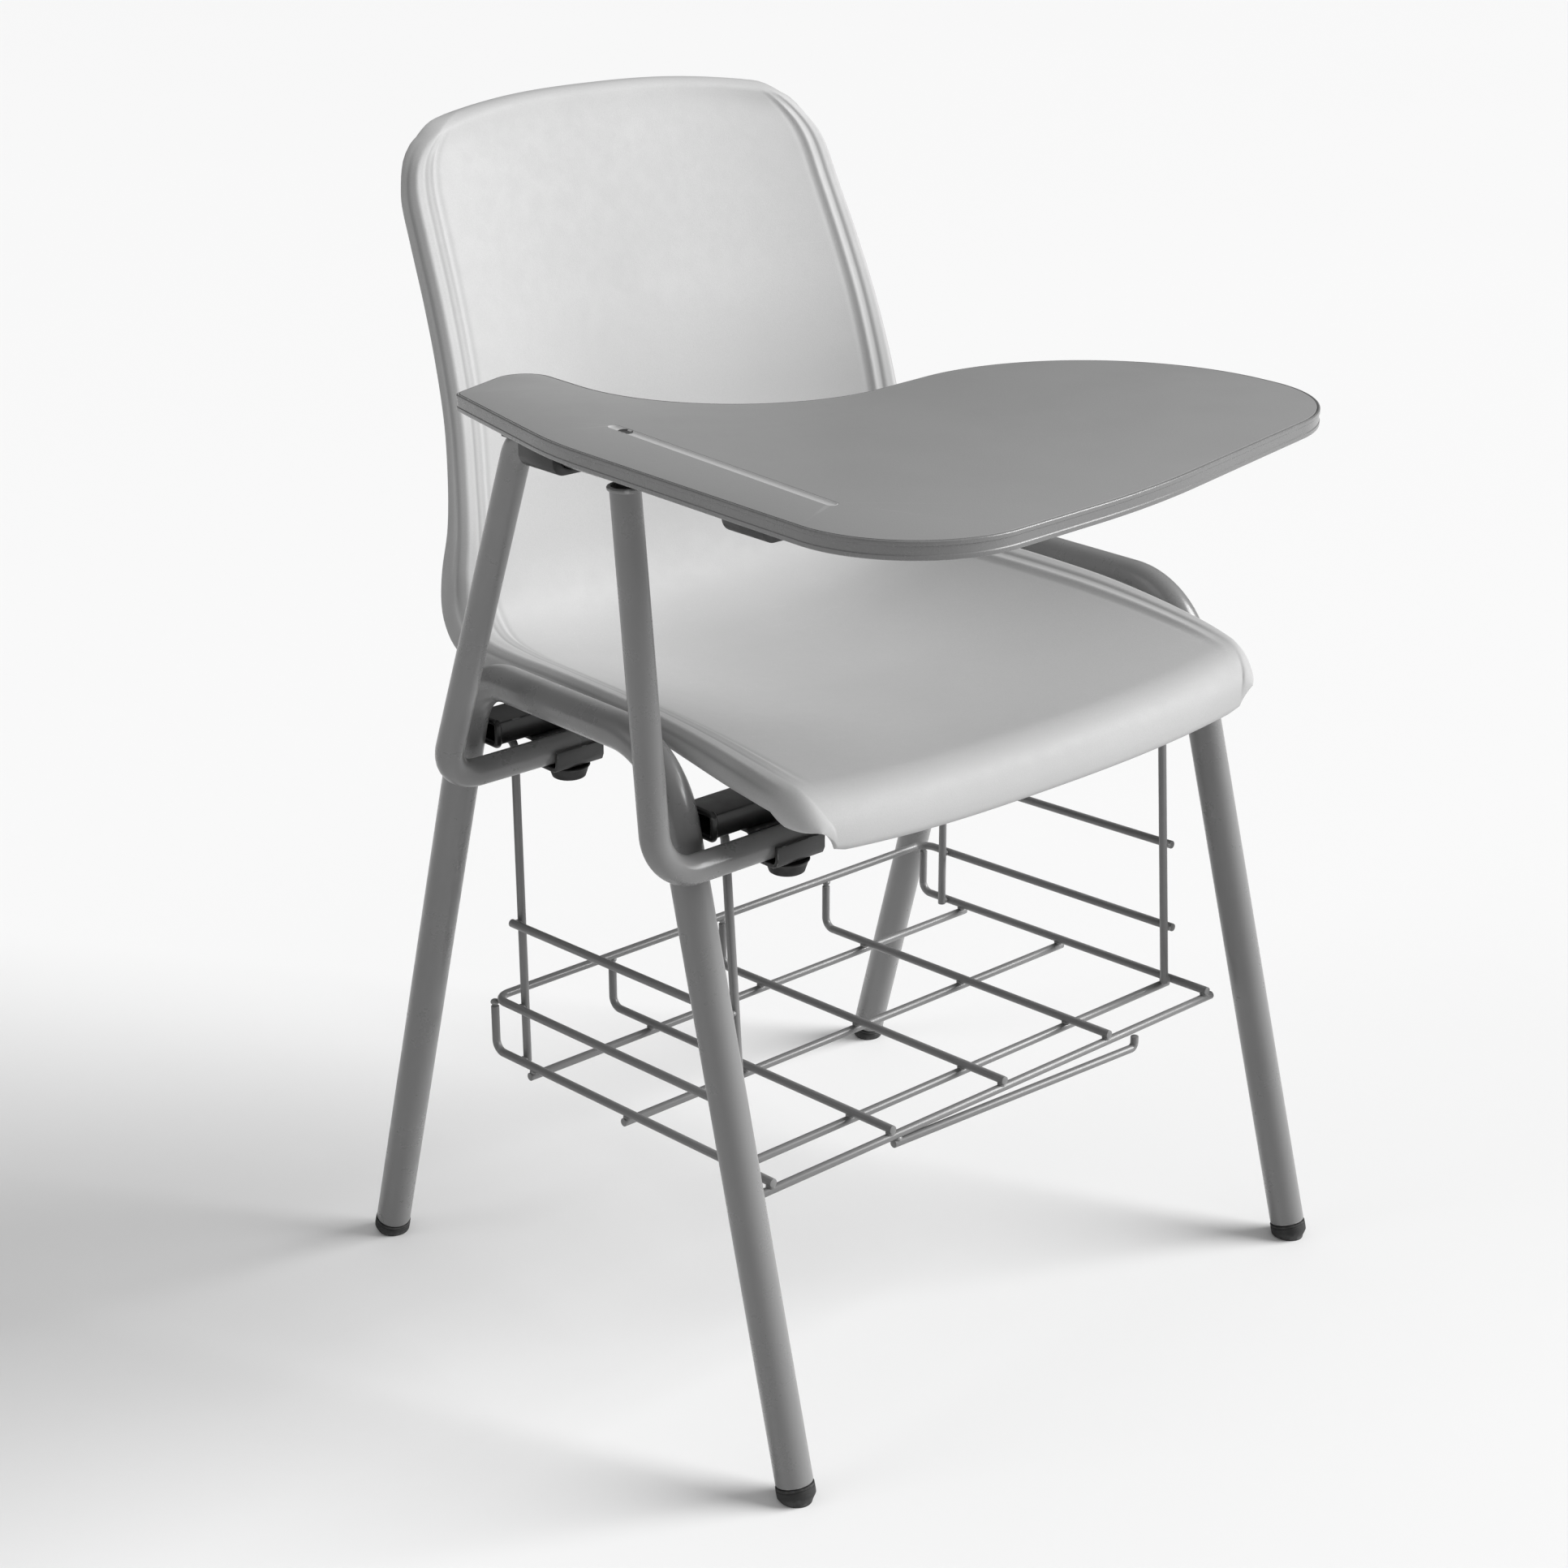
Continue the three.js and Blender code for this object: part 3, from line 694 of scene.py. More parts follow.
def lathe(profile: Sequence[tuple[float, float]], steps: int = 40) -> bmesh.types.BMesh:
    """Turns a profile that starts and ends on the axis about z.

    Args:
        profile: radius and height of each point, in millimetres.
        steps: steps round the axis.

    Returns:
        The mesh, in metres, about the origin.
    """
    bm = bmesh.new()
    verts = [bm.verts.new(Vector((r, 0, z)) * MM) for r, z in profile]
    edges = [bm.edges.new(pair) for pair in zip(verts, verts[1:])]
    bmesh.ops.spin(bm, geom=[*verts, *edges], cent=(0, 0, 0), axis=(0, 0, 1), angle=math.tau, steps=steps,
                   use_merge=True, use_duplicate=False)
    bmesh.ops.remove_doubles(bm, verts=bm.verts, dist=1e-6)
    return bm


def copy_of_node(node: str) -> bmesh.types.BMesh:
    """A CAD node's shape as one clean mesh.

    Args:
        node: the node's name.

    Returns:
        The mesh, with doubles merged and flat faces joined.
    """
    bm = bmesh.new()
    bm.from_mesh(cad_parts[node].data)
    bmesh.ops.remove_doubles(bm, verts=bm.verts, dist=1e-6)
    bmesh.ops.dissolve_limit(bm, angle_limit=math.radians(1), verts=bm.verts, edges=bm.edges)
    return bm


def sharp_edges(bm: bmesh.types.BMesh, degrees: float = 32) -> list[bmesh.types.BMEdge]:
    """The convex or hollow edges that turn by more than an angle."""
    return [e for e in bm.edges if e.is_manifold and e.calc_face_angle(0) > math.radians(degrees)]


def mark_worn_edges(bm: bmesh.types.BMesh) -> None:
    """Stores how sharply the surface turns outwards at each point, for the finishes' worn edges."""
    layer = bm.verts.layers.float.new(EDGE_ATTRIBUTE)
    start = math.radians(14)
    full = math.radians(30)
    widths = {f: 2 * f.calc_area() / max(f.calc_perimeter(), 1e-9) for f in bm.faces}
    for vert in bm.verts:
        turn = max((e.calc_face_angle_signed(0) for e in vert.link_edges), default=0)
        if all(widths[f] < WORN_STRIP for f in vert.link_faces):
            vert[layer] = min(max((turn - start) / (full - start), 0), 1)


def settle(bm: bmesh.types.BMesh, name: str, finishes: Finishes, slot: Slot, body: Body = Body.CHAIR,
           replaced: Sequence[str] = ()) -> bpy.types.Object:
    """Closes a mesh, turns it outwards, dresses it and puts it on its body.

    Args:
        bm: the mesh, in metres in the row frame. It is freed.
        name: the piece's name.
        finishes: the chair's finishes.
        slot: the material slot that it takes its finish from.
        body: the body that it rides on.
        replaced: the CAD nodes that it stands for.

    Returns:
        The piece.
    """
    bmesh.ops.remove_doubles(bm, verts=bm.verts, dist=2e-6)
    bmesh.ops.recalc_face_normals(bm, faces=bm.faces)
    mark_worn_edges(bm)
    for face in bm.faces:
        face.smooth = True
    for edge in bm.edges:
        edge.smooth = edge.is_manifold and edge.calc_face_angle(0) < SMOOTH_ANGLE
    mesh = bpy.data.meshes.new(name)
    bm.to_mesh(mesh)
    bm.free()
    mesh.materials.append(finishes.of(slot))
    piece = bpy.data.objects.new(name, mesh)
    bpy.context.scene.collection.objects.link(piece)
    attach(piece, body.value)
    if replaced:
        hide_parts(*replaced)
    log.info("%s: %d faces, on %s, in %s", name, len(mesh.polygons), body.value, slot.value)
    return piece


# ------------------------------------------------------------------------------ moulded shell


class Spline:
    """A smooth curve through equally spaced stations."""

    def __init__(self, stations: Sequence[Sequence[float]]) -> None:
        """Keeps the stations with one mirrored station past each end.

        Args:
            stations: the values at each station.
        """
        known = np.array(stations, float)
        self.known = np.vstack([2 * known[0] - known[1], known, 2 * known[-1] - known[-2]])
        self.spans = len(known) - 1

    def at(self, s: np.ndarray) -> np.ndarray:
        """Values along the curve.

        Args:
            s: places from 0 to 1, of any shape.

        Returns:
            An array of that shape with one more axis for the values.
        """
        f = np.clip(s, 0, 1) * self.spans
        k = np.minimum(f.astype(int), self.spans - 1)
        w = (f - k)[..., None]
        a, b, c, d = (self.known[k + n] for n in range(4))
        rise = (c - a) / 2
        fall = (d - b) / 2
        return b + rise * w + (3 * (c - b) - 2 * rise - fall) * w**2 + (2 * (b - c) + rise + fall) * w**3


@dataclass
class MouldedShell:
    """The one-piece seat and back, with its rim rolled over and two beads along each side."""

    wall: float = 5.0
    dish_power: float = 2.6
    front_roll: float = 31.0
    side_roll: float = 13.0
    top_roll: float = 12.0
    hip_roll: float = 8.0
    bead_width: float = 2.3
    crown_bead: float = 0.9
    inner_bead: float = 1.15
    inner_bead_place: float = 7.0
    groove: float = 0.55
    curl_radius: float = 7
    curl_turn: float = 75
    curl_steps: int = 6
    curl_from: float = 60
    curl_fade: float = 130
    corner_free: float = 3
    corner_fade: float = 22
    back_smoothing: int = 24
    # Rows of the mesh on the front lip, on the long middle and on the top brow.
    lip_rows: int = 16
    middle_rows: int = 150
    brow_rows: int = 13
    # Columns on one side: round the roll, and from the beads to the middle. The beads have one a millimetre.
    roll_columns: int = 19
    bead_columns: int = 22
    middle_columns: int = 26
    # The grooves beside the beads: how far off they lie, and how wide they are.
    groove_offset: float = 6.5
    inner_groove_width: float = 1.7
    crown_groove_width: float = 1.5
    step_offset: float = 5.5
    step_width: float = 2.2
    # Where the crown bead lies round the roll, as a share of its radius.
    crown_place: float = 0.62
    # The mid-line's y and z, the side edge's y and z, the half width of the square-cornered
    # sheet and the half width with its corners rounded, from the front edge to the top.
    stations: Sequence[Sequence[float]] = (
        (-206, 455, -201, 465, 219, 201), (-197, 455.5, -192, 466, 219, 211),
        (-178, 455.5, -175, 469, 219, 217), (-145, 454.5, -145, 475, 219, 219),
        (-100, 452.5, -100, 482, 219, 219), (-50, 450, -50, 487, 219, 219), (0, 448.5, 0, 489, 219, 219),
        (50, 448.5, 50, 490, 219, 219), (95, 451, 92, 490, 219, 219), (130, 459, 127, 493, 219, 219),
        (156, 477, 143, 506, 217, 217), (172, 506, 147, 528, 214, 214), (181, 545, 149, 555, 209, 209),
        (186, 585, 154, 588, 205, 205), (191, 625, 162, 626, 201, 201), (200, 665, 174, 665, 198, 198),
        (214, 705, 189, 703, 195, 195), (229, 745, 207, 742, 192, 192), (243, 778, 220, 771, 190, 189),
        (254, 803, 227, 786, 189, 180), (260, 820.4, 227, 796, 188, 161), (263, 827, 225, 800, 187, 132),
    )

    def __post_init__(self) -> None:
        """Makes the curve through the stations."""
        self.curve = Spline(self.stations)

    def sheet(self, s: np.ndarray, x: np.ndarray) -> np.ndarray:
        """Points of the square-cornered sheet.

        Args:
            s: places from the front edge, 0, to the top, 1.
            x: places across.

        Returns:
            Points in millimetres.
        """
        k = self.curve.at(s)
        reach = (np.abs(x) / k[..., 4]) ** self.dish_power
        y = k[..., 0] + (k[..., 2] - k[..., 0]) * reach
        z = k[..., 1] + (k[..., 3] - k[..., 1]) * reach
        return np.stack([x + 0 * s, y, z], axis=-1)

    def rows(self) -> np.ndarray:
        """Places along the shell, close together on the rolled ends."""
        fine = np.linspace(0, 1, 2001)
        reach = 400
        mid = self.sheet(fine, 0 * fine)
        from_front = np.linalg.norm(mid - mid[0], axis=1)
        from_top = np.linalg.norm(mid - mid[-1], axis=1)
        along = np.concatenate([[0], np.cumsum(np.linalg.norm(np.diff(mid, axis=0), axis=1))])
        lip = self.front_roll * (1 - np.sin(np.linspace(math.pi / 2, 0, self.lip_rows)))
        brow = self.top_roll * (1 - np.sin(np.linspace(0, math.pi / 2, self.brow_rows)))
        front = np.interp(lip, from_front[:reach], fine[:reach])
        top = np.interp(brow, from_top[:-reach:-1], fine[:-reach:-1])
        start, stop = np.interp([front[-1], top[0]], fine, along)
        middle = np.interp(np.linspace(start, stop, self.middle_rows), along, fine)
        return np.concatenate([front[:-1], middle, top[1:]])

    def side_roll_at(self, s: np.ndarray) -> np.ndarray:
        """Radius of the rolled side rim, which is deeper round the hip bend."""
        return self.side_roll + self.hip_roll * np.exp(-(((s - 0.46) / 0.1) ** 2))

    def insets(self, s: np.ndarray, half: np.ndarray) -> np.ndarray:
        """Distances from the side edge to the middle for each column of one half.

        Args:
            s: places along the shell, one for each row.
            half: half widths, one for each row.

        Returns:
            One row of distances for each place.
        """
        roll = self.side_roll_at(s)[:, None]
        rolled = roll * (1 - np.sin(np.linspace(math.pi / 2, 0, self.roll_columns)))
        band = self.bead_columns
        beaded = roll + np.linspace(0, band, band + 1)[1:]
        rest = roll + band + (half[:, None] - roll - band) * np.linspace(0, 1, self.middle_columns + 1)[1:]
        return np.concatenate([rolled, beaded, rest], axis=1)

    def skin(self) -> tuple[np.ndarray, np.ndarray]:
        """Points of the show face and how deep in a groove each lies.

        Returns:
            Points in metres with a row and a column axis, and the groove depth from 0 to 1.
        """
        rows = self.rows()
        half = self.curve.at(rows)[:, 5]
        inset = self.insets(rows, half)
        right = half[:, None] - inset
        x = np.concatenate([-right, right[:, -2::-1]], axis=1)
        inset = np.concatenate([inset, inset[:, -2::-1]], axis=1)
        s = np.repeat(rows[:, None], x.shape[1], axis=1)
        point = self.sheet(s, x)
        across = unit(self.sheet(s, x + 1) - self.sheet(s, x - 1))
        step = 1e-3
        along = self.sheet(np.minimum(s + step, 1), x) - self.sheet(np.maximum(s - step, 0), x)
        along = unit(along - across * np.sum(along * across, axis=-1, keepdims=True))
        normal = unit(np.cross(across, along))
        return self.rolled(s, x, inset, point, across, along, normal)

    def rolled(self, s: np.ndarray, x: np.ndarray, inset: np.ndarray, point: np.ndarray,
               across: np.ndarray, along: np.ndarray, normal: np.ndarray) -> tuple[np.ndarray, np.ndarray]:
        """Rolls the rim of the sheet over and raises the beads along it.

        Args:
            s: place along the shell.
            x: place across.
            inset: distance from the side edge.
            point: point of the flat sheet.
            across: direction across the sheet.
            along: direction towards the top.
            normal: direction that the show face looks in.

        Returns:
            Points in metres and the groove depth from 0 to 1.
        """
        front = s < 0.5
        end = self.sheet(np.where(front, 0.0, 1.0), 0 * x)
        from_end = np.linalg.norm(self.sheet(s, 0 * x) - end, axis=-1)
        end_roll = np.where(front, self.front_roll, self.top_roll)
        side_roll = self.side_roll_at(s)
        side_bit = np.clip(1 - inset / side_roll, 0, 1)
        end_bit = np.clip(1 - from_end / end_roll, 0, 1)
        both = side_bit + end_bit
        roll = (side_roll * side_bit + end_roll * end_bit) / np.maximum(both, 1e-9)
        cos = np.sqrt(np.clip((1 - side_bit**2) * (1 - end_bit**2), 0, 1))
        sin = np.sqrt(1 - cos**2)
        outward = across * (np.sign(x) * side_bit)[..., None]
        outward = outward + along * np.where(front, -end_bit, end_bit)[..., None]
        outward = outward / np.maximum(np.linalg.norm(outward, axis=-1, keepdims=True), 1e-9)
        point = point - normal * (roll * (1 - cos))[..., None]
        facing = unit(normal * cos[..., None] + outward * sin[..., None])
        raised, hollow = self.beads(s, inset, side_roll, side_bit)
        return (point + facing * raised[..., None]) * MM, hollow

    def beads(self, s: np.ndarray, inset: np.ndarray, side_roll: np.ndarray,
              side_bit: np.ndarray) -> tuple[np.ndarray, np.ndarray]:
        """Height of the beads and grooves that run along the two sides.

        Args:
            s: place along the shell.
            inset: distance from the side edge.
            side_roll: radius of the rolled side.
            side_bit: how far round the roll, 0 to 1.

        Returns:
            The height in millimetres and the groove depth from 0 to 1.
        """
        arc = np.where(inset < side_roll, -side_roll * np.arcsin(side_bit), inset - side_roll)
        fade = smooth_step(s, 0.075, 0.17) * smooth_step(-s, -0.955, -0.88)
        crown = -self.crown_place * side_roll

        def hump(centre: np.ndarray | float, width: float) -> np.ndarray:
            """A smooth hump across the rim."""
            return np.exp(-(((arc - centre) / width) ** 2))

        grooves = hump(self.inner_bead_place - self.groove_offset, self.inner_groove_width)
        grooves = grooves + hump(crown - self.groove_offset, self.crown_groove_width)
        grooves = grooves + 0.5 * hump(self.inner_bead_place + self.step_offset, self.step_width)
        height = self.crown_bead * hump(crown, self.bead_width) - self.groove * grooves
        height = height + self.inner_bead * hump(self.inner_bead_place, self.bead_width)
        return height * fade, np.clip(grooves * fade, 0, 1)

    def build(self, layout: Layout, finishes: Finishes) -> None:
        """Builds the shell from a grid laid on its skin and given its wall.

        Args:
            layout: places lengths in the row frame.
            finishes: the chair's finishes.
        """
        skin, hollow = self.skin()
        row_count, column_count = hollow.shape
        bm = bmesh.new()
        bmesh.ops.create_grid(bm, x_segments=column_count - 1, y_segments=row_count - 1, size=1)
        # Groove depth, for the painted shade in the grooves that the shell's finish adds.
        layer = bm.verts.layers.float.new(GROOVE_SHADE_ATTRIBUTE)
        for vert in bm.verts:
            column = round((vert.co.x + 1) / 2 * (column_count - 1))
            row = round((vert.co.y + 1) / 2 * (row_count - 1))
            vert.co = layout.origin + Vector(skin[row, column])
            vert[layer] = hollow[row, column]
        bm.normal_update()
        self.curl_under(bm, skin, layout)
        bm.normal_update()
        self.thicken(bm)
        rim = {e for e in bm.edges if e.is_manifold and e.calc_face_angle(0) > math.radians(60)}
        round_edges(bm, list(rim), 0.8, 2)
        settle(bm, "moulded_shell", finishes, Slot.SHELL, replaced=["seat_shell"])

    def thicken(self, bm: bmesh.types.BMesh) -> None:
        """Gives the skin its wall: a copy behind it, and a strip that joins the two edges.

        Args:
            bm: the show face, with its normals up to date.
        """
        outer = list(bm.verts)
        rim = [e for e in bm.edges if e.is_boundary]
        copied = bmesh.ops.duplicate(bm, geom=[*bm.verts, *bm.edges, *bm.faces])
        behind = {v: v.co - v.normal * self.wall * MM for v in outer}
        for vert in outer:
            copied["vert_map"][vert].co = behind[vert]
        rim_verts = {v for e in rim for v in e.verts}
        hidden = [copied["vert_map"][v] for v in outer if v not in rim_verts]
        for _ in range(self.back_smoothing):
            bmesh.ops.smooth_vert(bm, verts=hidden, factor=0.5, use_axis_x=True, use_axis_y=True,
                                  use_axis_z=True)
        bmesh.ops.reverse_faces(bm, faces=faces_in(copied["geom"]))
        strip = verts_in(bmesh.ops.extrude_edge_only(bm, edges=rim)["geom"])
        for vert in strip:
            source = next(o for o in (e.other_vert(vert) for e in vert.link_edges) if o in behind)
            vert.co = behind[source]
        bmesh.ops.remove_doubles(bm, verts=bm.verts, dist=1e-6)

    def curl_under(self, bm: bmesh.types.BMesh, skin: np.ndarray, layout: Layout) -> None:
        """Carries the rolled rim on round the front edge, so that it turns under the seat.

        Args:
            bm: the show face, with its normals up to date.
            skin: the show face's points by row and column.
            layout: places lengths in the row frame.
        """
        start = bm.verts.layers.float_vector.new("curl_start")
        onward = bm.verts.layers.float_vector.new("curl_onward")
        back = bm.verts.layers.float_vector.new("curl_back")
        rim = [e for e in bm.edges if e.is_boundary]
        front_y = skin[0, :, 1].min()
        corners = [layout.origin + Vector(skin[0, column]) for column in (0, -1)]
        for vert in {v for e in rim for v in e.verts}:
            inner = [e.other_vert(vert) for e in vert.link_edges if not e.is_boundary]
            inner = inner or [e.other_vert(vert) for e in vert.link_edges]
            away = sum(((vert.co - v.co) for v in inner), Vector()).normalized()
            local = vert.co.y - layout.origin.y - front_y
            share = 1 - min(max((local / MM - self.curl_from) / self.curl_fade, 0), 1)
            share = share * share * (3 - 2 * share)
            corner_gap = min((vert.co - c).length for c in corners) / MM
            share *= min(max((corner_gap - self.corner_free) / self.corner_fade, 0), 1)
            normal = vert.normal.copy()
            vert[start] = vert.co
            vert[onward] = (away - normal * away.dot(normal)).normalized() * share * self.curl_radius * MM
            vert[back] = -normal * share * self.curl_radius * MM
        for step in range(1, self.curl_steps + 1):
            angle = math.radians(self.curl_turn) * step / self.curl_steps
            grown = bmesh.ops.extrude_edge_only(bm, edges=rim)["geom"]
            rim = [e for e in edges_in(grown) if e.is_boundary]
            for vert in verts_in(grown):
                vert.co = vert[start] + vert[onward] * math.sin(angle) + vert[back] * (1 - math.cos(angle))
        for layer in (start, onward, back):
            bm.verts.layers.float_vector.remove(layer)
        bmesh.ops.dissolve_degenerate(bm, dist=2e-5, edges=bm.edges)


def unit(vectors: np.ndarray) -> np.ndarray:
    """Vectors along the last axis, at unit length."""
    return vectors / np.linalg.norm(vectors, axis=-1, keepdims=True)


def smooth_step(value: np.ndarray, low: float, high: float) -> np.ndarray:
    """Eases from 0 at low to 1 at high."""
    t = np.clip((value - low) / (high - low), 0, 1)
    return t * t * (3 - 2 * t)


# ------------------------------------------------------------------------------ legs and seat supports


@dataclass
class LegFrames:
    """The two bent leg loops, each a front leg, side rail and rear leg in one tube, and their caps."""

    tube_radius: float = 12.5
    rail_x: float = 242
    rail_z: float = 478
    front_foot: tuple[float, float] = (250, -230)
    rear_foot: tuple[float, float] = (247, 230)
    front_corner_y: float = -100
    rear_corner_y: float = 97
    front_bend: float = 62
    rear_bend: float = 48
    leg_start: float = 11.3
    cap_profile: Sequence[tuple[float, float]] = (
        (0, -6), (9.3, -6), (9.5, -2.5), (10.2, -0.6), (12.2, 2.4), (12.9, 3.6), (13, 5), (13, 8.6),
        (12.6, 9.0), (12.6, 9.5), (12.95, 9.9), (12.95, 10.6), (12.4, 11.1), (0, 11.1),
    )

    def axis(self, foot: tuple[float, float], corner_y: float, side: int) -> tuple[Vector, Vector]:
        """A leg's foot and upward direction.

        Args:
            foot: the foot's x and y.
            corner_y: where the leg's line meets the rail's.
            side: 1 for the sitter's left, -1 for the right.

        Returns:
            The foot in millimetres and the unit direction.
        """
        base = Vector((side * foot[0], foot[1], 0))
        return base, (Vector((side * self.rail_x, corner_y, self.rail_z)) - base).normalized()

    def build(self, layout: Layout, finishes: Finishes) -> None:
        """Builds both loops and the four caps.

        Args:
            layout: places lengths in the row frame.
            finishes: the chair's finishes.
        """
        for side_name, side in (("left", 1), ("right", -1)):
            front, front_up = self.axis(self.front_foot, self.front_corner_y, side)
            rear, rear_up = self.axis(self.rear_foot, self.rear_corner_y, side)
            corners = [front + front_up * self.leg_start,
                       Vector((side * self.rail_x, self.front_corner_y, self.rail_z)),
                       Vector((side * self.rail_x, self.rear_corner_y, self.rail_z)),
                       rear + rear_up * self.leg_start]
            tube = bar([layout.point(*c) for c in corners], [self.front_bend, self.rear_bend],
                       self.tube_radius, 40, 4)
            node = f"leg_frame_{side_name}"
            settle(tube, f"{node}_painted", finishes, Slot.FRAME, replaced=[node])
            for end, foot, up in (("front", front, front_up), ("rear", rear, rear_up)):
                self.cap(layout, finishes, f"foot_cap_{end}_{side_name}", foot, up)

    def cap(self, layout: Layout, finishes: Finishes, node: str, foot: Vector, up: Vector) -> None:
        """Builds a foot cap, cut flat where it stands on the floor.

        Args:
            layout: places lengths in the row frame.
            finishes: the chair's finishes.
            node: the CAD node that it stands for.
            foot: the leg's foot in millimetres.
            up: the leg's direction.
        """
        bm = lathe(self.cap_profile, 44)
        lean = Vector((0, 0, 1)).rotation_difference(up).to_matrix().to_4x4()
        bmesh.ops.transform(bm, matrix=Matrix.Translation(layout.point(*foot)) @ lean, verts=bm.verts)
        cut = bmesh.ops.bisect_plane(bm, geom=[*bm.verts, *bm.edges, *bm.faces], plane_co=(0, 0, 0),
                                     plane_no=(0, 0, -1), clear_outer=True)
        bmesh.ops.holes_fill(bm, edges=edges_in(cut["geom_cut"]), sides=0)
        settle(bm, f"{node}_rubber", finishes, Slot.RUBBER, replaced=[node])


@dataclass
class Screws:
    """Pan-head screws with a hexagon socket, one for each screw node of the frame."""

    socket: float = 0.36
    sides: int = 24
    # The head's profile from its flat top down, each a share of the radius and of the height.
    profile: Sequence[tuple[float, float]] = ((0.82, 0.88), (0.95, 0.66), (1.0, 0.4), (1.0, 0.0))

    def head(self, radius: float, height: float) -> bmesh.types.BMesh:
        """A head that stands on z = 0 with its socket upwards.

        Args:
            radius: radius of the head in metres.
            height: height of the head in metres.

        Returns:
            The mesh.
        """
        bm = bmesh.new()
        floor = Matrix.Translation((0, 0, height * 0.45))
        made = bmesh.ops.create_circle(bm, cap_ends=True, segments=6, radius=radius * self.socket * 1.12,
                                       matrix=floor)
        walls = bmesh.ops.extrude_edge_only(bm, edges=list({e for v in made["verts"] for e in v.link_edges}))
        bmesh.ops.translate(bm, verts=verts_in(walls["geom"]), vec=(0, 0, height * 0.55))
        parts = bmesh.ops.subdivide_edges(bm, edges=edges_in(walls["geom"]), cuts=self.sides // 6 - 1)
        lip = [e for e in edges_in(parts["geom"]) if all(v.co.z > height * 0.99 for v in e.verts)]
        ring = bmesh.ops.create_circle(bm, cap_ends=False, segments=self.sides, radius=radius * 0.6,
                                       matrix=Matrix.Translation((0, 0, height)))
        rim = list({e for v in ring["verts"] for e in v.link_edges})
        bmesh.ops.bridge_loops(bm, edges=lip + rim)
        for share, level in self.profile:
            grown = bmesh.ops.extrude_edge_only(bm, edges=rim)["geom"]
            rim = edges_in(grown)
            for vert in verts_in(grown):
                flat = Vector((vert.co.x, vert.co.y, 0)).normalized() * radius * share
                vert.co = Vector((flat.x, flat.y, height * level))
        bmesh.ops.holes_fill(bm, edges=rim, sides=0)
        return bm

    def build(self, finishes: Finishes) -> None:
        """Puts a head in place of each screw node, facing down.

        Args:
            finishes: the chair's finishes.
        """
        for node in sorted(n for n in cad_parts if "_screw_" in n):
            low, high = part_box(node)
            bm = self.head((high.x - low.x) / 2, high.z - low.z)
            seat = Vector(((low.x + high.x) / 2, (low.y + high.y) / 2, high.z))
            place = Matrix.Translation(seat) @ Matrix.Rotation(math.pi, 4, "X")
            bmesh.ops.transform(bm, matrix=place, verts=bm.verts)
            body = Body.TABLET if node.startswith("tablet") else Body.CHAIR
            settle(bm, f"{node}_head", finishes, Slot.STEEL, body, [node])


@dataclass
class SeatSupports:
    """The two box crossbars, the shell's bosses on them, and the welds to the leg loops."""

    corner_round: float = 1.6
    boss_round: float = 0.8
    weld_radius: float = 2.4
    weld_inset: float = 1.2
    weld_steps: int = 22

    def build(self, finishes: Finishes) -> None:
        """Builds the crossbars, their welds and the bosses.

        Args:
            finishes: the chair's finishes.
        """
        for end in ("front", "rear"):
            node = f"crossbar_{end}"
            bm = copy_of_node(node)
            along = [e for e in bm.edges if abs((e.verts[0].co - e.verts[1].co).normalized().x) > 0.9]
            round_edges(bm, along, self.corner_round * 0.6, 3)
            settle(bm, f"{node}_painted", finishes, Slot.BLACK, replaced=[node])
            for side_name, side in (("left", 1), ("right", -1)):
                self.boss(finishes, f"seat_boss_{end}_{side_name}")
                self.weld(finishes, node, side_name, side)

    def boss(self, finishes: Finishes, node: str) -> None:
        """Builds one of the shell's bosses.

        Args:
            finishes: the chair's finishes.
            node: the CAD node that it stands for.
        """
        bm = copy_of_node(node)
        round_edges(bm, sharp_edges(bm, 60), self.boss_round, 2)
        settle(bm, f"{node}_moulded", finishes, Slot.SHELL, replaced=[node])

    def weld(self, finishes: Finishes, node: str, side_name: str, side: int) -> None:
        """Lays a weld bead round a crossbar's end, where it meets the leg.

        Args:
            finishes: the chair's finishes.
            node: the crossbar's node.
            side_name: left or right.
            side: 1 for the sitter's left, -1 for the right.
        """
        low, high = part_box(node)
        x = (high.x if side > 0 else low.x) - side * self.weld_inset * MM
        corners = [Vector((x, y, z)) for y, z in ((low.y, low.z), (high.y, low.z), (high.y, high.z),
                                                  (low.y, high.z))]
        start = (corners[0] + corners[1]) / 2
        bm = bmesh.new()
        sweep = Sweep.of_circle(bm, start, corners[1] - start, self.weld_radius * MM, 10)
        sweep.follow([*corners[1:], corners[0], start], [self.weld_radius * MM] * 4, self.weld_steps)
        settle(bm, f"{node}_weld_{side_name}", finishes, Slot.BLACK)


# ------------------------------------------------------------------------------ tablet arm


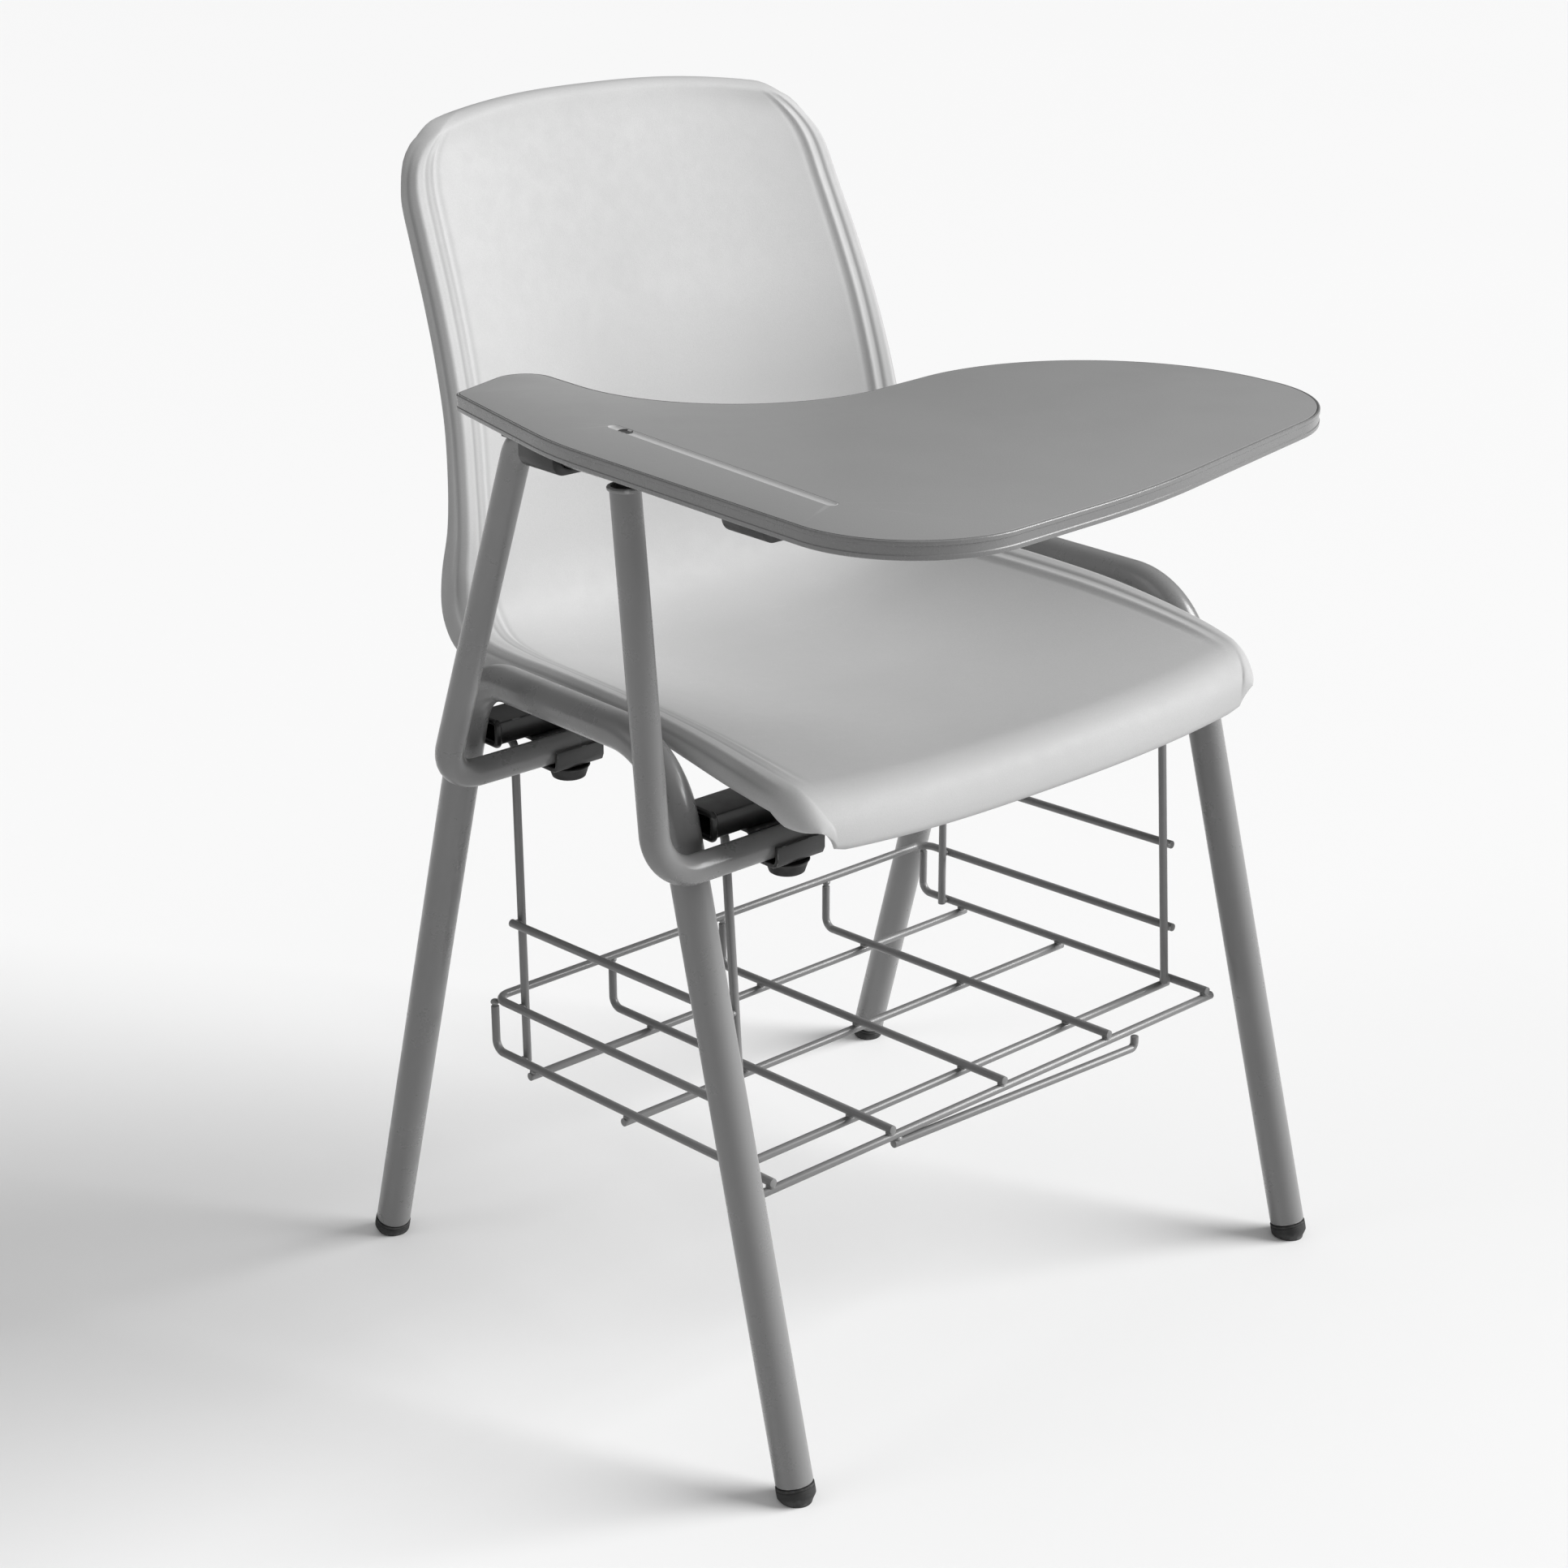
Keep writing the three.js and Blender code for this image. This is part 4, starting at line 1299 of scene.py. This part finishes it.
@dataclass
class TabletArm:
    """The bent arm tube, its front brace, the brackets under the seat and the stop for the tablet."""

    tube_radius: float = 9.5
    wall: float = 1.5
    x: float = -285
    run_z: float = 415
    top_z: float = 668
    rear_run_y: float = 81
    front_run_y: float = -142
    inner_end: float = -160
    top_corner_y: float = -18
    top_end: float = -264
    foot_bend: float = 30
    top_bend: float = 22
    brace_top_y: float = -118
    brace_gap: float = 1.6
    weld_radius: float = 1.6
    weld_drop: float = 0.4
    tube_sides: int = 36

    def build(self, layout: Layout, finishes: Finishes) -> None:
        """Builds the two tubes, the brackets, pads, plug and stop.

        Args:
            layout: places lengths in the row frame.
            finishes: the chair's finishes.
        """
        p = layout.point
        arm = bar([p(self.inner_end, self.rear_run_y, self.run_z), p(self.x, self.rear_run_y, self.run_z),
                   p(self.x, self.top_corner_y, self.top_z), p(self.x, self.top_end, self.top_z)],
                  [self.foot_bend, self.top_bend], self.tube_radius, self.tube_sides, 4, self.wall)
        settle(arm, "tablet_arm_tube_painted", finishes, Slot.FRAME, replaced=["tablet_arm_tube"])
        brace_top = self.top_z - self.tube_radius - self.brace_gap
        brace = bar([p(self.inner_end, self.front_run_y, self.run_z), p(self.x, self.front_run_y, self.run_z),
                     p(self.x, self.brace_top_y, brace_top)],
                    [self.foot_bend], self.tube_radius, self.tube_sides, 4, self.wall)
        settle(brace, "tablet_arm_brace_painted", finishes, Slot.FRAME, replaced=["tablet_arm_brace"])
        self.brace_weld(layout, finishes, brace_top)
        for end in ("front", "rear"):
            self.copied(finishes, f"arm_bracket_{end}", Slot.BLACK, 0.7, "painted")
            self.pad(finishes, f"stacking_pad_{end}")
        self.copied(finishes, "tablet_stop", Slot.FRAME, 0.6, "painted")
        self.plug(finishes)

    def brace_weld(self, layout: Layout, finishes: Finishes, top: float) -> None:
        """Lays the weld that joins the brace to the arm's top run.

        Args:
            layout: places lengths in the row frame.
            finishes: the chair's finishes.
            top: height of the brace's end.
        """
        bm = bmesh.new()
        centre = layout.point(self.x, self.brace_top_y, top - self.weld_drop)
        ring = Matrix.Translation(centre + Vector((self.tube_radius, 0, 0)) * MM) @ Matrix.Rotation(
            math.pi / 2, 4, "X")
        made = bmesh.ops.create_circle(bm, cap_ends=False, segments=10, radius=self.weld_radius * MM,
                                       matrix=ring)
        geometry = [*made["verts"], *{e for v in made["verts"] for e in v.link_edges}]
        bmesh.ops.spin(bm, geom=geometry, cent=centre, axis=(0, 0, 1), angle=math.tau, steps=self.tube_sides,
                       use_merge=True, use_duplicate=False)
        settle(bm, "tablet_arm_weld", finishes, Slot.FRAME)

    def copied(self, finishes: Finishes, node: str, slot: Slot, radius: float, word: str) -> None:
        """Rounds off a CAD node's own shape.

        Args:
            finishes: the chair's finishes.
            node: the node.
            slot: its material slot.
            radius: the round in millimetres.
            word: last word of the piece's name.
        """
        bm = copy_of_node(node)
        round_edges(bm, sharp_edges(bm), radius, 2)
        settle(bm, f"{node}_{word}", finishes, slot, replaced=[node])

    def pad(self, finishes: Finishes, node: str) -> None:
        """Builds a stacking pad under a bracket, with a ribbed side.

        Args:
            finishes: the chair's finishes.
            node: the CAD node that it stands for.
        """
        low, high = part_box(node)
        height = (high.z - low.z) / MM
        radius = (high.x - low.x) / 2 / MM
        profile = [(0, 0), (radius * 0.45, 0), (radius * 0.5, 0.7), (radius * 0.66, 0.7), (radius * 0.72, 0)]
        profile += [(radius * (0.76 + 0.2 * t), height * t)
                    for t in (0.06, 0.3, 0.36, 0.42, 0.66, 0.72, 0.78)]
        profile += [(radius * 0.985, height * 0.93), (radius * 0.96, height), (0, height)]
        bm = lathe(profile, 40)
        place = Vector(((low.x + high.x) / 2, (low.y + high.y) / 2, low.z))
        bmesh.ops.translate(bm, verts=bm.verts, vec=place)
        settle(bm, f"{node}_rubber", finishes, Slot.RUBBER, replaced=[node])

    def plug(self, finishes: Finishes) -> None:
        """Builds the plug in the open end of the arm's top run.

        Args:
            finishes: the chair's finishes.
        """
        low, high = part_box("arm_end_plug")
        length = (high.y - low.y) / MM
        flange = length - 5
        bm = lathe([(0, 0), (7.2, 0), (7.4, 1), (7.4, flange), (9.2, flange), (9.4, flange + 0.5),
                    (9.3, flange + 2), (8.2, flange + 3.9), (6, length - 0.3), (0, length)], 36)
        turn = Matrix.Rotation(math.pi / 2, 4, "X")
        seat = Vector(((low.x + high.x) / 2, high.y, (low.z + high.z) / 2))
        bmesh.ops.transform(bm, matrix=Matrix.Translation(seat) @ turn, verts=bm.verts)
        settle(bm, "arm_end_plug_rubber", finishes, Slot.RUBBER, replaced=["arm_end_plug"])


# ------------------------------------------------------------------------------ writing tablet


@dataclass
class WritingTablet:
    """The board with its pen groove, the band round its edge and the two clamps on the arm."""

    top: float = 690
    thickness: float = 10.6
    band: float = 2.0
    gap: float = 0.3
    trim: float = 0.2
    chord: float = 3.5
    groove_rear: tuple[float, float] = (-282.8, -106)
    groove_front: tuple[float, float] = (-300, -310)
    groove_half_width: float = 4.05
    well_offset: float = 12
    well_radius: float = 4.9
    edge_round: float = 0.9
    band_round: float = 1.1
    channel_margin: float = 2.6
    channel_depth: float = 0.45
    liner_gap: float = 0.3
    liner_depth: float = 1.9
    liner_drop: float = 0.12
    # Steps down into the groove and into its liner, each a width and a rise.
    groove_steps: Sequence[tuple[float, float]] = ((0.35, -0.3), (0.35, -0.9), (0.8, -0.8), (1.2, -0.5))
    liner_steps: Sequence[tuple[float, float]] = ((0.4, 0.12), (0.5, -0.25), (0.8, -0.35), (1.0, -0.15))
    # Corners of the outline seen from above, each x, y and radius.
    corners: Sequence[tuple[float, float, float]] = (
        (-333, -110, 300), (-345, -414, 78), (-150, -404, 600), (88, -353, 82), (98, -121, 138),
        (-241, -154, 120), (-231, 50, 20), (-304, 22, 8),
    )

    def outline(self, bm: bmesh.types.BMesh, layout: Layout) -> None:
        """Draws the outline at the top face, with every corner an arc.

        Args:
            bm: mesh to draw in.
            layout: places lengths in the row frame.
        """
        points = [layout.point(x, y, self.top) for x, y, _ in self.corners]
        count = len(points)
        ahead = [(points[(i + 1) % count] - points[i]).normalized() for i in range(count)]
        start = (points[-1] + points[0]) / 2
        sweep = Sweep.of_point(bm, start, ahead[-1])
        for i, (_, _, radius) in enumerate(self.corners):
            turn = ahead[i - 1].angle(ahead[i])
            reach = (points[i] - sweep.at).length - radius * MM * math.tan(turn / 2)
            sweep.forward(reach)
            sweep.bend(ahead[i], radius * MM, max(4, round(radius * turn / self.chord)))
        sweep.forward((start - sweep.at).length)
        bmesh.ops.remove_doubles(bm, verts=bm.verts, dist=1e-5)

    def outline_face(self, layout: Layout, width: float) -> tuple[bmesh.types.BMesh, list, list]:
        """The outline filled, with a border of a given width and its outermost `trim` taken off.

        Args:
            layout: places lengths in the row frame.
            width: width of the border from the untrimmed outline, in millimetres.

        Returns:
            The mesh, its border faces and its middle face.
        """
        bm = bmesh.new()
        self.outline(bm, layout)
        middle = bmesh.ops.contextual_create(bm, geom=bm.edges)["faces"]
        if middle[0].normal.z < 0:
            bmesh.ops.reverse_faces(bm, faces=middle)
        trimmed = inset(bm, middle, self.trim)
        bmesh.ops.delete(bm, geom=trimmed, context="FACES")
        border = inset(bm, middle, width - self.trim)
        return bm, border, middle

    def slot_outline(self, bm: bmesh.types.BMesh, layout: Layout, half_width: float) -> list:
        """Draws the groove's outline, a straight slot with round ends.

        Args:
            bm: mesh to draw in.
            layout: places lengths in the row frame.
            half_width: half of the slot's width in millimetres.

        Returns:
            The outline's edges.
        """
        before = set(bm.edges)
        rear = layout.point(*self.groove_rear, self.top)
        front = layout.point(*self.groove_front, self.top)
        along = (front - rear).normalized()
        side = Vector((0, 0, 1)).cross(along)
        out = half_width * MM
        sweep = Sweep.of_point(bm, rear - side * out, along)
        sweep.forward((front - rear).length)
        for heading in (side, -along):
            sweep.bend(heading, out, 8)
        sweep.forward((front - rear).length)
        for heading in (-side, along):
            sweep.bend(heading, out, 8)
        drawn = {v for e in set(bm.edges) - before for v in e.verts}
        bmesh.ops.remove_doubles(bm, verts=list(drawn), dist=1e-6)
        return [e for e in bm.edges if e not in before]

    def board(self, layout: Layout, finishes: Finishes) -> None:
        """Builds the board: outline and groove filled, pushed down to its thickness, edges rounded.

        Args:
            layout: places lengths in the row frame.
            finishes: the chair's finishes.
        """
        bm, border, middle = self.outline_face(layout, self.band + self.gap)
        bmesh.ops.delete(bm, geom=border, context="FACES")
        bmesh.ops.delete(bm, geom=middle, context="FACES_ONLY")
        bmesh.ops.delete(bm, geom=[v for v in bm.verts if not v.link_edges], context="VERTS")
        outer = list(bm.edges)
        slot = self.slot_outline(bm, layout, self.groove_half_width)
        bmesh.ops.triangle_fill(bm, use_beauty=True, use_dissolve=False, edges=outer + slot)
        bmesh.ops.recalc_face_normals(bm, faces=bm.faces)
        if bm.faces[0].normal.z < 0:
            bmesh.ops.reverse_faces(bm, faces=bm.faces)
        floor = bmesh.ops.contextual_create(bm, geom=slot)["faces"]
        # Marks the groove's points for the painted shade in the board's finish.
        layer = bm.verts.layers.float.new(GROOVE_SHADE_ATTRIBUTE)
        for thickness, depth in self.groove_steps:
            inset(bm, floor, thickness, depth)
            for vert in {v for f in floor for v in f.verts}:
                vert[layer] = 1.0
        sides = bmesh.ops.extrude_edge_only(bm, edges=[e for e in bm.edges if e.is_boundary])["geom"]
        bmesh.ops.translate(bm, verts=verts_in(sides), vec=(0, 0, -self.thickness * MM))
        bmesh.ops.contextual_create(bm, geom=edges_in(sides))
        bmesh.ops.recalc_face_normals(bm, faces=bm.faces)
        bm.normal_update()
        rims = [e for e in sharp_edges(bm, 60) if e.is_convex]
        round_edges(bm, rims, self.edge_round, 3)
        settle(bm, "tablet_board_moulded", finishes, Slot.BOARD, Body.TABLET, ["tablet_board"])

    def edge_band(self, layout: Layout, finishes: Finishes) -> None:
        """Builds the band round the board, with a shallow channel along its face.

        Args:
            layout: places lengths in the row frame.
            finishes: the chair's finishes.
        """
        bm, _, middle = self.outline_face(layout, self.band)
        bmesh.ops.delete(bm, geom=middle, context="FACES_ONLY")
        pushed = bmesh.ops.extrude_face_region(bm, geom=list(bm.faces))["geom"]
        bmesh.ops.translate(bm, verts=verts_in(pushed), vec=(0, 0, -self.thickness * MM))
        bmesh.ops.recalc_face_normals(bm, faces=bm.faces)
        bm.normal_update()
        rims = [e for e in sharp_edges(bm, 60) if e.is_convex]
        outside = self.outer_faces(bm)
        inset(bm, outside, self.channel_margin)
        inset(bm, outside, 0.5, -self.channel_depth)
        round_edges(bm, [e for e in rims if e.is_valid], self.band_round, 3)
        settle(bm, "tablet_edge_band_moulded", finishes, Slot.BAND, Body.TABLET, ["tablet_edge_band"])

    def outer_faces(self, bm: bmesh.types.BMesh) -> list[bmesh.types.BMFace]:
        """The upright faces of the band's outer wall, as one connected ring."""
        bm.normal_update()
        upright = [f for f in bm.faces if abs(f.normal.z) < 0.1]
        rest = set(upright)
        rings = []
        while rest:
            ring = [rest.pop()]
            for face in ring:
                found = {n for e in face.edges for n in e.link_faces} & rest
                ring.extend(found)
                rest -= found
            rings.append(ring)
        return max(rings, key=lambda ring: sum(f.calc_area() for f in ring))

    def groove_liner(self, layout: Layout, finishes: Finishes) -> None:
        """Builds the light strip that lines the pen groove.

        Args:
            layout: places lengths in the row frame.
            finishes: the chair's finishes.
        """
        bm = bmesh.new()
        slot = self.slot_outline(bm, layout, self.groove_half_width - self.liner_gap)
        floor = bmesh.ops.contextual_create(bm, geom=slot)["faces"]
        if floor[0].normal.z < 0:
            bmesh.ops.reverse_faces(bm, faces=floor)
        for thickness, depth in self.liner_steps:
            inset(bm, floor, thickness, depth)
        under = bmesh.ops.extrude_edge_only(bm, edges=[e for e in bm.edges if e.is_boundary])["geom"]
        bmesh.ops.translate(bm, verts=verts_in(under), vec=(0, 0, -self.liner_depth * MM))
        bmesh.ops.contextual_create(bm, geom=edges_in(under))
        bmesh.ops.translate(bm, verts=bm.verts, vec=(0, 0, -self.liner_drop * MM))
        settle(bm, "pen_groove_liner", finishes, Slot.SHELL, Body.TABLET)

    def pen_well(self, layout: Layout, finishes: Finishes) -> None:
        """Builds a black cup, nearly flush with the top, near the groove's rear end: painted shade that
        stands in for the dark hole there.

        Args:
            layout: places lengths in the row frame.
            finishes: the chair's finishes.
        """
        rear = Vector((*self.groove_rear, self.top))
        front = Vector((*self.groove_front, self.top))
        centre = rear + (front - rear).normalized() * self.well_offset
        r = self.well_radius
        bm = lathe([(0, -0.5), (r - 2.1, -0.5), (r - 1.7, -0.3), (r - 1.1, -0.04), (r - 0.4, -0.04),
                    (r, -0.4), (r, -4.6), (0, -4.6)], 32)
        bmesh.ops.translate(bm, verts=bm.verts, vec=layout.point(*centre))
        # Painted shade: a black disc where the groove's end shows only a dark hole.
        settle(bm, "pen_hole_painted_shade", finishes, Slot.PLASTIC, Body.TABLET)

    def clamps(self, finishes: Finishes) -> None:
        """Rounds off the two clamp blocks.

        Args:
            finishes: the chair's finishes.
        """
        for end in ("front", "rear"):
            node = f"tablet_clamp_{end}"
            bm = copy_of_node(node)
            round_edges(bm, [e for e in sharp_edges(bm) if e.is_convex], self.edge_round, 2)
            settle(bm, f"{node}_moulded", finishes, Slot.PLASTIC, Body.TABLET, [node])

    def build(self, layout: Layout, finishes: Finishes) -> None:
        """Builds the tablet.

        Args:
            layout: places lengths in the row frame.
            finishes: the chair's finishes.
        """
        self.board(layout, finishes)
        self.edge_band(layout, finishes)
        self.groove_liner(layout, finishes)
        self.pen_well(layout, finishes)
        self.clamps(finishes)


# ------------------------------------------------------------------------------ book basket


@dataclass
class BookBasket:
    """The welded wire basket under the seat: floor rods, cross rods, rim, guards and hangers."""

    wire_radius: float = 3.0
    sides: int = 16
    gap: float = 0.3
    pitch: float = 107
    floor_z: float = 183
    slope: float = 0.052
    rear_y: float = 131
    front_y: float = -164
    cross_y: tuple[float, float, float] = (87, -18, -125)
    rim_rise: float = 41
    rim_front: float = -131
    guard_ends: tuple[float, float] = (-126, 107)
    guard_rise: float = 106
    hanger_front_y: float = -131
    hanger_rear_y: float = 103
    hanger_top: float = 418
    # Where each hanger's bend and its tip lie, and how far it leans in y for each unit of height.
    hanger_front_ends: tuple[float, float] = (-114, -98)
    hanger_rear_ends: tuple[float, float] = (105, 124)
    hanger_leans: tuple[float, float] = (0.074, 0.009)
    hanger_bend: float = 6
    rod_count: int = 5
    rod_bend: float = 8
    rim_bend: float = 12
    # The front lip: its two ends in x, its drop at the far end and its bend.
    lip_ends: tuple[float, float] = (-104, 138)
    lip_drop: float = 9
    lip_bend: float = 4
    nugget_radius: float = 2.9
    nugget_shape: tuple[float, float, float] = (1.15, 1.15, 0.8)

    def floor(self, y: float) -> float:
        """Height of the floor rods' centre-lines at y."""
        return self.floor_z - self.slope * y

    @property
    def layer(self) -> float:
        """Height between two layers of wire."""
        return 2 * self.wire_radius + self.gap

    def wire(self, layout: Layout, finishes: Finishes, node: str, corners: Sequence[Sequence[float]],
             radii: Sequence[float] = ()) -> None:
        """Builds one bent wire in place of a node.

        Args:
            layout: places lengths in the row frame.
            finishes: the chair's finishes.
            node: the CAD node that it stands for.
            corners: corners of the centre-line.
            radii: bend radii, one for each inner corner.
        """
        bm = bar([layout.point(*c) for c in corners], radii, self.wire_radius, self.sides, 9)
        settle(bm, f"{node}_wire", finishes, Slot.WIRE, replaced=[node])

    def floor_wires(self, layout: Layout, finishes: Finishes) -> None:
        """Builds the five floor rods and the four rods that cross under them.

        Args:
            layout: places lengths in the row frame.
            finishes: the chair's finishes.
        """
        side = 2 * self.pitch
        for i in range(self.rod_count):
            x = side - i * self.pitch
            rear = self.floor(self.rear_y)
            corners = [(x, self.front_y - 3, self.floor(self.front_y)), (x, self.rear_y, rear),
                       (x, self.rear_y, rear + self.rim_rise - self.layer)]
            self.wire(layout, finishes, f"floor_rod_{i + 1}", corners, [self.rod_bend])
        for place, y in zip(("rear", "middle", "front"), self.cross_y):
            z = self.floor(y) - self.layer
            self.wire(layout, finishes, f"cross_rod_{place}", [(-side - 4, y, z), (side + 4, y, z)])
        z = self.floor(self.front_y) - self.layer
        self.wire(layout, finishes, "front_rod", [(-side - 8, self.front_y, z), (side + 8, self.front_y, z)])
        low = z - self.layer
        first, last = self.lip_ends
        corners = [(first, self.front_y, low), (last, self.front_y, low - self.lip_drop),
                   (last, self.front_y, low)]
        self.wire(layout, finishes, "front_lip_rod", corners, [self.lip_bend])

    def rim_wires(self, layout: Layout, finishes: Finishes) -> None:
        """Builds the rim, the guard rods and the hangers.

        Args:
            layout: places lengths in the row frame.
            finishes: the chair's finishes.
        """
        side = 2 * self.pitch
        rim = [(side, self.rim_front), (side, self.rear_y), (-side, self.rear_y), (-side, self.rim_front)]
        corners = [(x, y, self.floor(y) + self.rim_rise) for x, y in rim]
        self.wire(layout, finishes, "basket_rim", corners, [self.rim_bend] * 2)
        hangers = (("front", self.hanger_front_y, *self.hanger_front_ends),
                   ("rear", self.hanger_rear_y, *self.hanger_rear_ends))
        for name, sign in (("left", 1), ("right", -1)):
            corners = [(sign * side, y, self.floor(y) + self.guard_rise) for y in self.guard_ends]
            self.wire(layout, finishes, f"guard_rod_{name}", corners)
            x = sign * (side - self.layer - 0.1)
            for end, foot, top, tip in hangers:
                corners = [(x, foot, self.floor(foot) - 2), (x, top, self.hanger_top),
                           (x, tip, self.hanger_top)]
                self.wire(layout, finishes, f"hanger_{end}_{name}", corners, [self.hanger_bend])

    def welds(self, layout: Layout, finishes: Finishes) -> None:
        """Puts a flat nugget of weld at every place where two wires cross.

        Args:
            layout: places lengths in the row frame.
            finishes: the chair's finishes.
        """
        side = 2 * self.pitch
        half = self.layer / 2
        spots = [(side - i * self.pitch, y, self.floor(y) - half)
                 for i in range(self.rod_count) for y in (*self.cross_y, self.front_y)]
        spots += [(side - i * self.pitch, self.rear_y, self.floor(self.rear_y) + self.rim_rise - half)
                  for i in range(self.rod_count)]
        for sign in (1, -1):
            x = sign * (side - half)
            for y, lean in zip((self.hanger_front_y, self.hanger_rear_y), self.hanger_leans):
                spots += [(x, y + lean * rise, self.floor(y) + rise)
                          for rise in (0, self.rim_rise, self.guard_rise)]
        spots += [(self.lip_ends[0] + 4, self.front_y, self.floor(self.front_y) - self.layer - half)]
        bm = bmesh.new()
        for x, y, z in spots:
            place = Matrix.Translation(layout.point(x, y, z)) @ Matrix.Diagonal((*self.nugget_shape, 1))
            bmesh.ops.create_uvsphere(bm, u_segments=12, v_segments=8, radius=self.nugget_radius * MM,
                                      matrix=place)
        settle(bm, "basket_weld_nuggets", finishes, Slot.WIRE)

    def build(self, layout: Layout, finishes: Finishes) -> None:
        """Builds the basket.

        Args:
            layout: places lengths in the row frame.
            finishes: the chair's finishes.
        """
        self.floor_wires(layout, finishes)
        self.rim_wires(layout, finishes)
        self.welds(layout, finishes)


# ------------------------------------------------------------------------------ studio


@dataclass(frozen=True)
class SoftLight:
    """A far, wide light that falls evenly over the whole floor."""

    name: str
    place: tuple[float, float, float]
    width: float
    strength: float

    def build(self) -> None:
        """Makes the light, shining from its place towards the chair."""
        data = bpy.data.lights.new(self.name, "SUN")
        data.angle = math.radians(self.width)
        data.energy = self.strength
        light = bpy.data.objects.new(self.name, data)
        light.rotation_euler = (-Vector(self.place)).to_track_quat("-Z", "Y").to_euler()
        bpy.context.scene.collection.objects.link(light)


@dataclass
class Studio:
    """A pale floor, soft lights, a sky that is bright overhead, and the camera. Lengths are in metres."""

    camera_place: tuple[float, float, float] = (-1.2947, -1.3798, 1.1029)
    azimuth: float = 41.94
    elevation: float = 21.37
    lens: float = 65.85
    sensor: float = 36.0
    floor_size: float = 60.0
    floor_tone: float = 0.86
    horizon: float = 0.04
    zenith: float = 0.5
    # Height on the unit sky at which it reaches the zenith's brightness.
    overhead: float = 0.9
    backdrop: float = 0.9
    lights: tuple[SoftLight, ...] = (
        SoftLight("key", (0.8, -0.66, 0.56), 38, 4.5),
        SoftLight("left_fill", (-0.8, 0.3, 0.5), 30, 0.3),
    )

    def build(self, layout: Layout) -> None:
        """Makes the floor, the light and the camera.

        Args:
            layout: places lengths in the row frame.
        """
        self.floor()
        for light in self.lights:
            light.build()
        self.sky()
        bpy.context.scene.view_settings.view_transform = "Standard"
        self.camera(layout)

    def sky(self) -> None:
        """Makes the sky that lights the chair, darker towards the horizon, in front of a pale backdrop."""
        world = bpy.data.worlds.new("studio_air")
        world.use_nodes = True
        nodes, links = world.node_tree.nodes, world.node_tree.links
        split = nodes.new("ShaderNodeSeparateXYZ")
        links.new(nodes.new("ShaderNodeTexCoord").outputs["Generated"], split.inputs["Vector"])
        ramp = nodes.new("ShaderNodeMapRange")
        ramp.interpolation_type = "SMOOTHSTEP"
        limits = {"From Min": 0.0, "From Max": self.overhead, "To Min": self.horizon, "To Max": self.zenith}
        for key, value in limits.items():
            ramp.inputs[key].default_value = value
        links.new(split.outputs["Z"], ramp.inputs["Value"])
        seen = nodes.new("ShaderNodeMix")
        links.new(nodes.new("ShaderNodeLightPath").outputs["Is Camera Ray"], seen.inputs["Factor"])
        links.new(ramp.outputs["Result"], seen.inputs["A"])
        seen.inputs["B"].default_value = self.backdrop
        links.new(seen.outputs["Result"], nodes["Background"].inputs["Strength"])
        nodes["Background"].inputs["Color"].default_value = grey(1.0)
        bpy.context.scene.world = world

    def floor(self) -> None:
        """Makes the floor."""
        bm = bmesh.new()
        bmesh.ops.create_grid(bm, x_segments=1, y_segments=1, size=self.floor_size / 2)
        mesh = bpy.data.meshes.new("studio_floor")
        bm.to_mesh(mesh)
        bm.free()
        recipe = Recipe("pale_floor")
        tone = recipe.blend(recipe.noise(0.7, 2), self.floor_tone * 0.99, self.floor_tone)
        recipe.put(recipe.shader, Base_Color=tone, Roughness=0.9)
        mesh.materials.append(recipe.material)
        floor = bpy.data.objects.new("studio_floor", mesh)
        bpy.context.scene.collection.objects.link(floor)

    def camera(self, layout: Layout) -> None:
        """Makes the camera.

        Args:
            layout: places lengths in the row frame.
        """
        data = bpy.data.cameras.new("camera")
        data.lens = self.lens
        data.sensor_width = self.sensor
        camera = bpy.data.objects.new("camera", data)
        camera.location = layout.origin + Vector(self.camera_place)
        turn, tilt = math.radians(self.azimuth), math.radians(self.elevation)
        ahead = Vector((math.sin(turn) * math.cos(tilt), math.cos(turn) * math.cos(tilt), -math.sin(tilt)))
        camera.rotation_euler = ahead.to_track_quat("-Z", "Y").to_euler()
        bpy.context.scene.collection.objects.link(camera)
        bpy.context.scene.camera = camera


def main() -> None:
    """Builds the chair and the studio."""
    layout = Layout.from_frame()
    Studio().build(layout)
    finishes = Finishes()
    steps: list[tuple[str, Callable[[], None]]] = [
        ("moulded shell", lambda: MouldedShell().build(layout, finishes)),
        ("leg loops", lambda: LegFrames().build(layout, finishes)),
        ("seat supports", lambda: SeatSupports().build(finishes)),
        ("screws", lambda: Screws().build(finishes)),
        ("tablet arm", lambda: TabletArm().build(layout, finishes)),
        ("writing tablet", lambda: WritingTablet().build(layout, finishes)),
        ("book basket", lambda: BookBasket().build(layout, finishes)),
    ]
    for name, build in steps:
        log.info("building the %s", name)
        build()


if __name__ == "__main__":
    main()
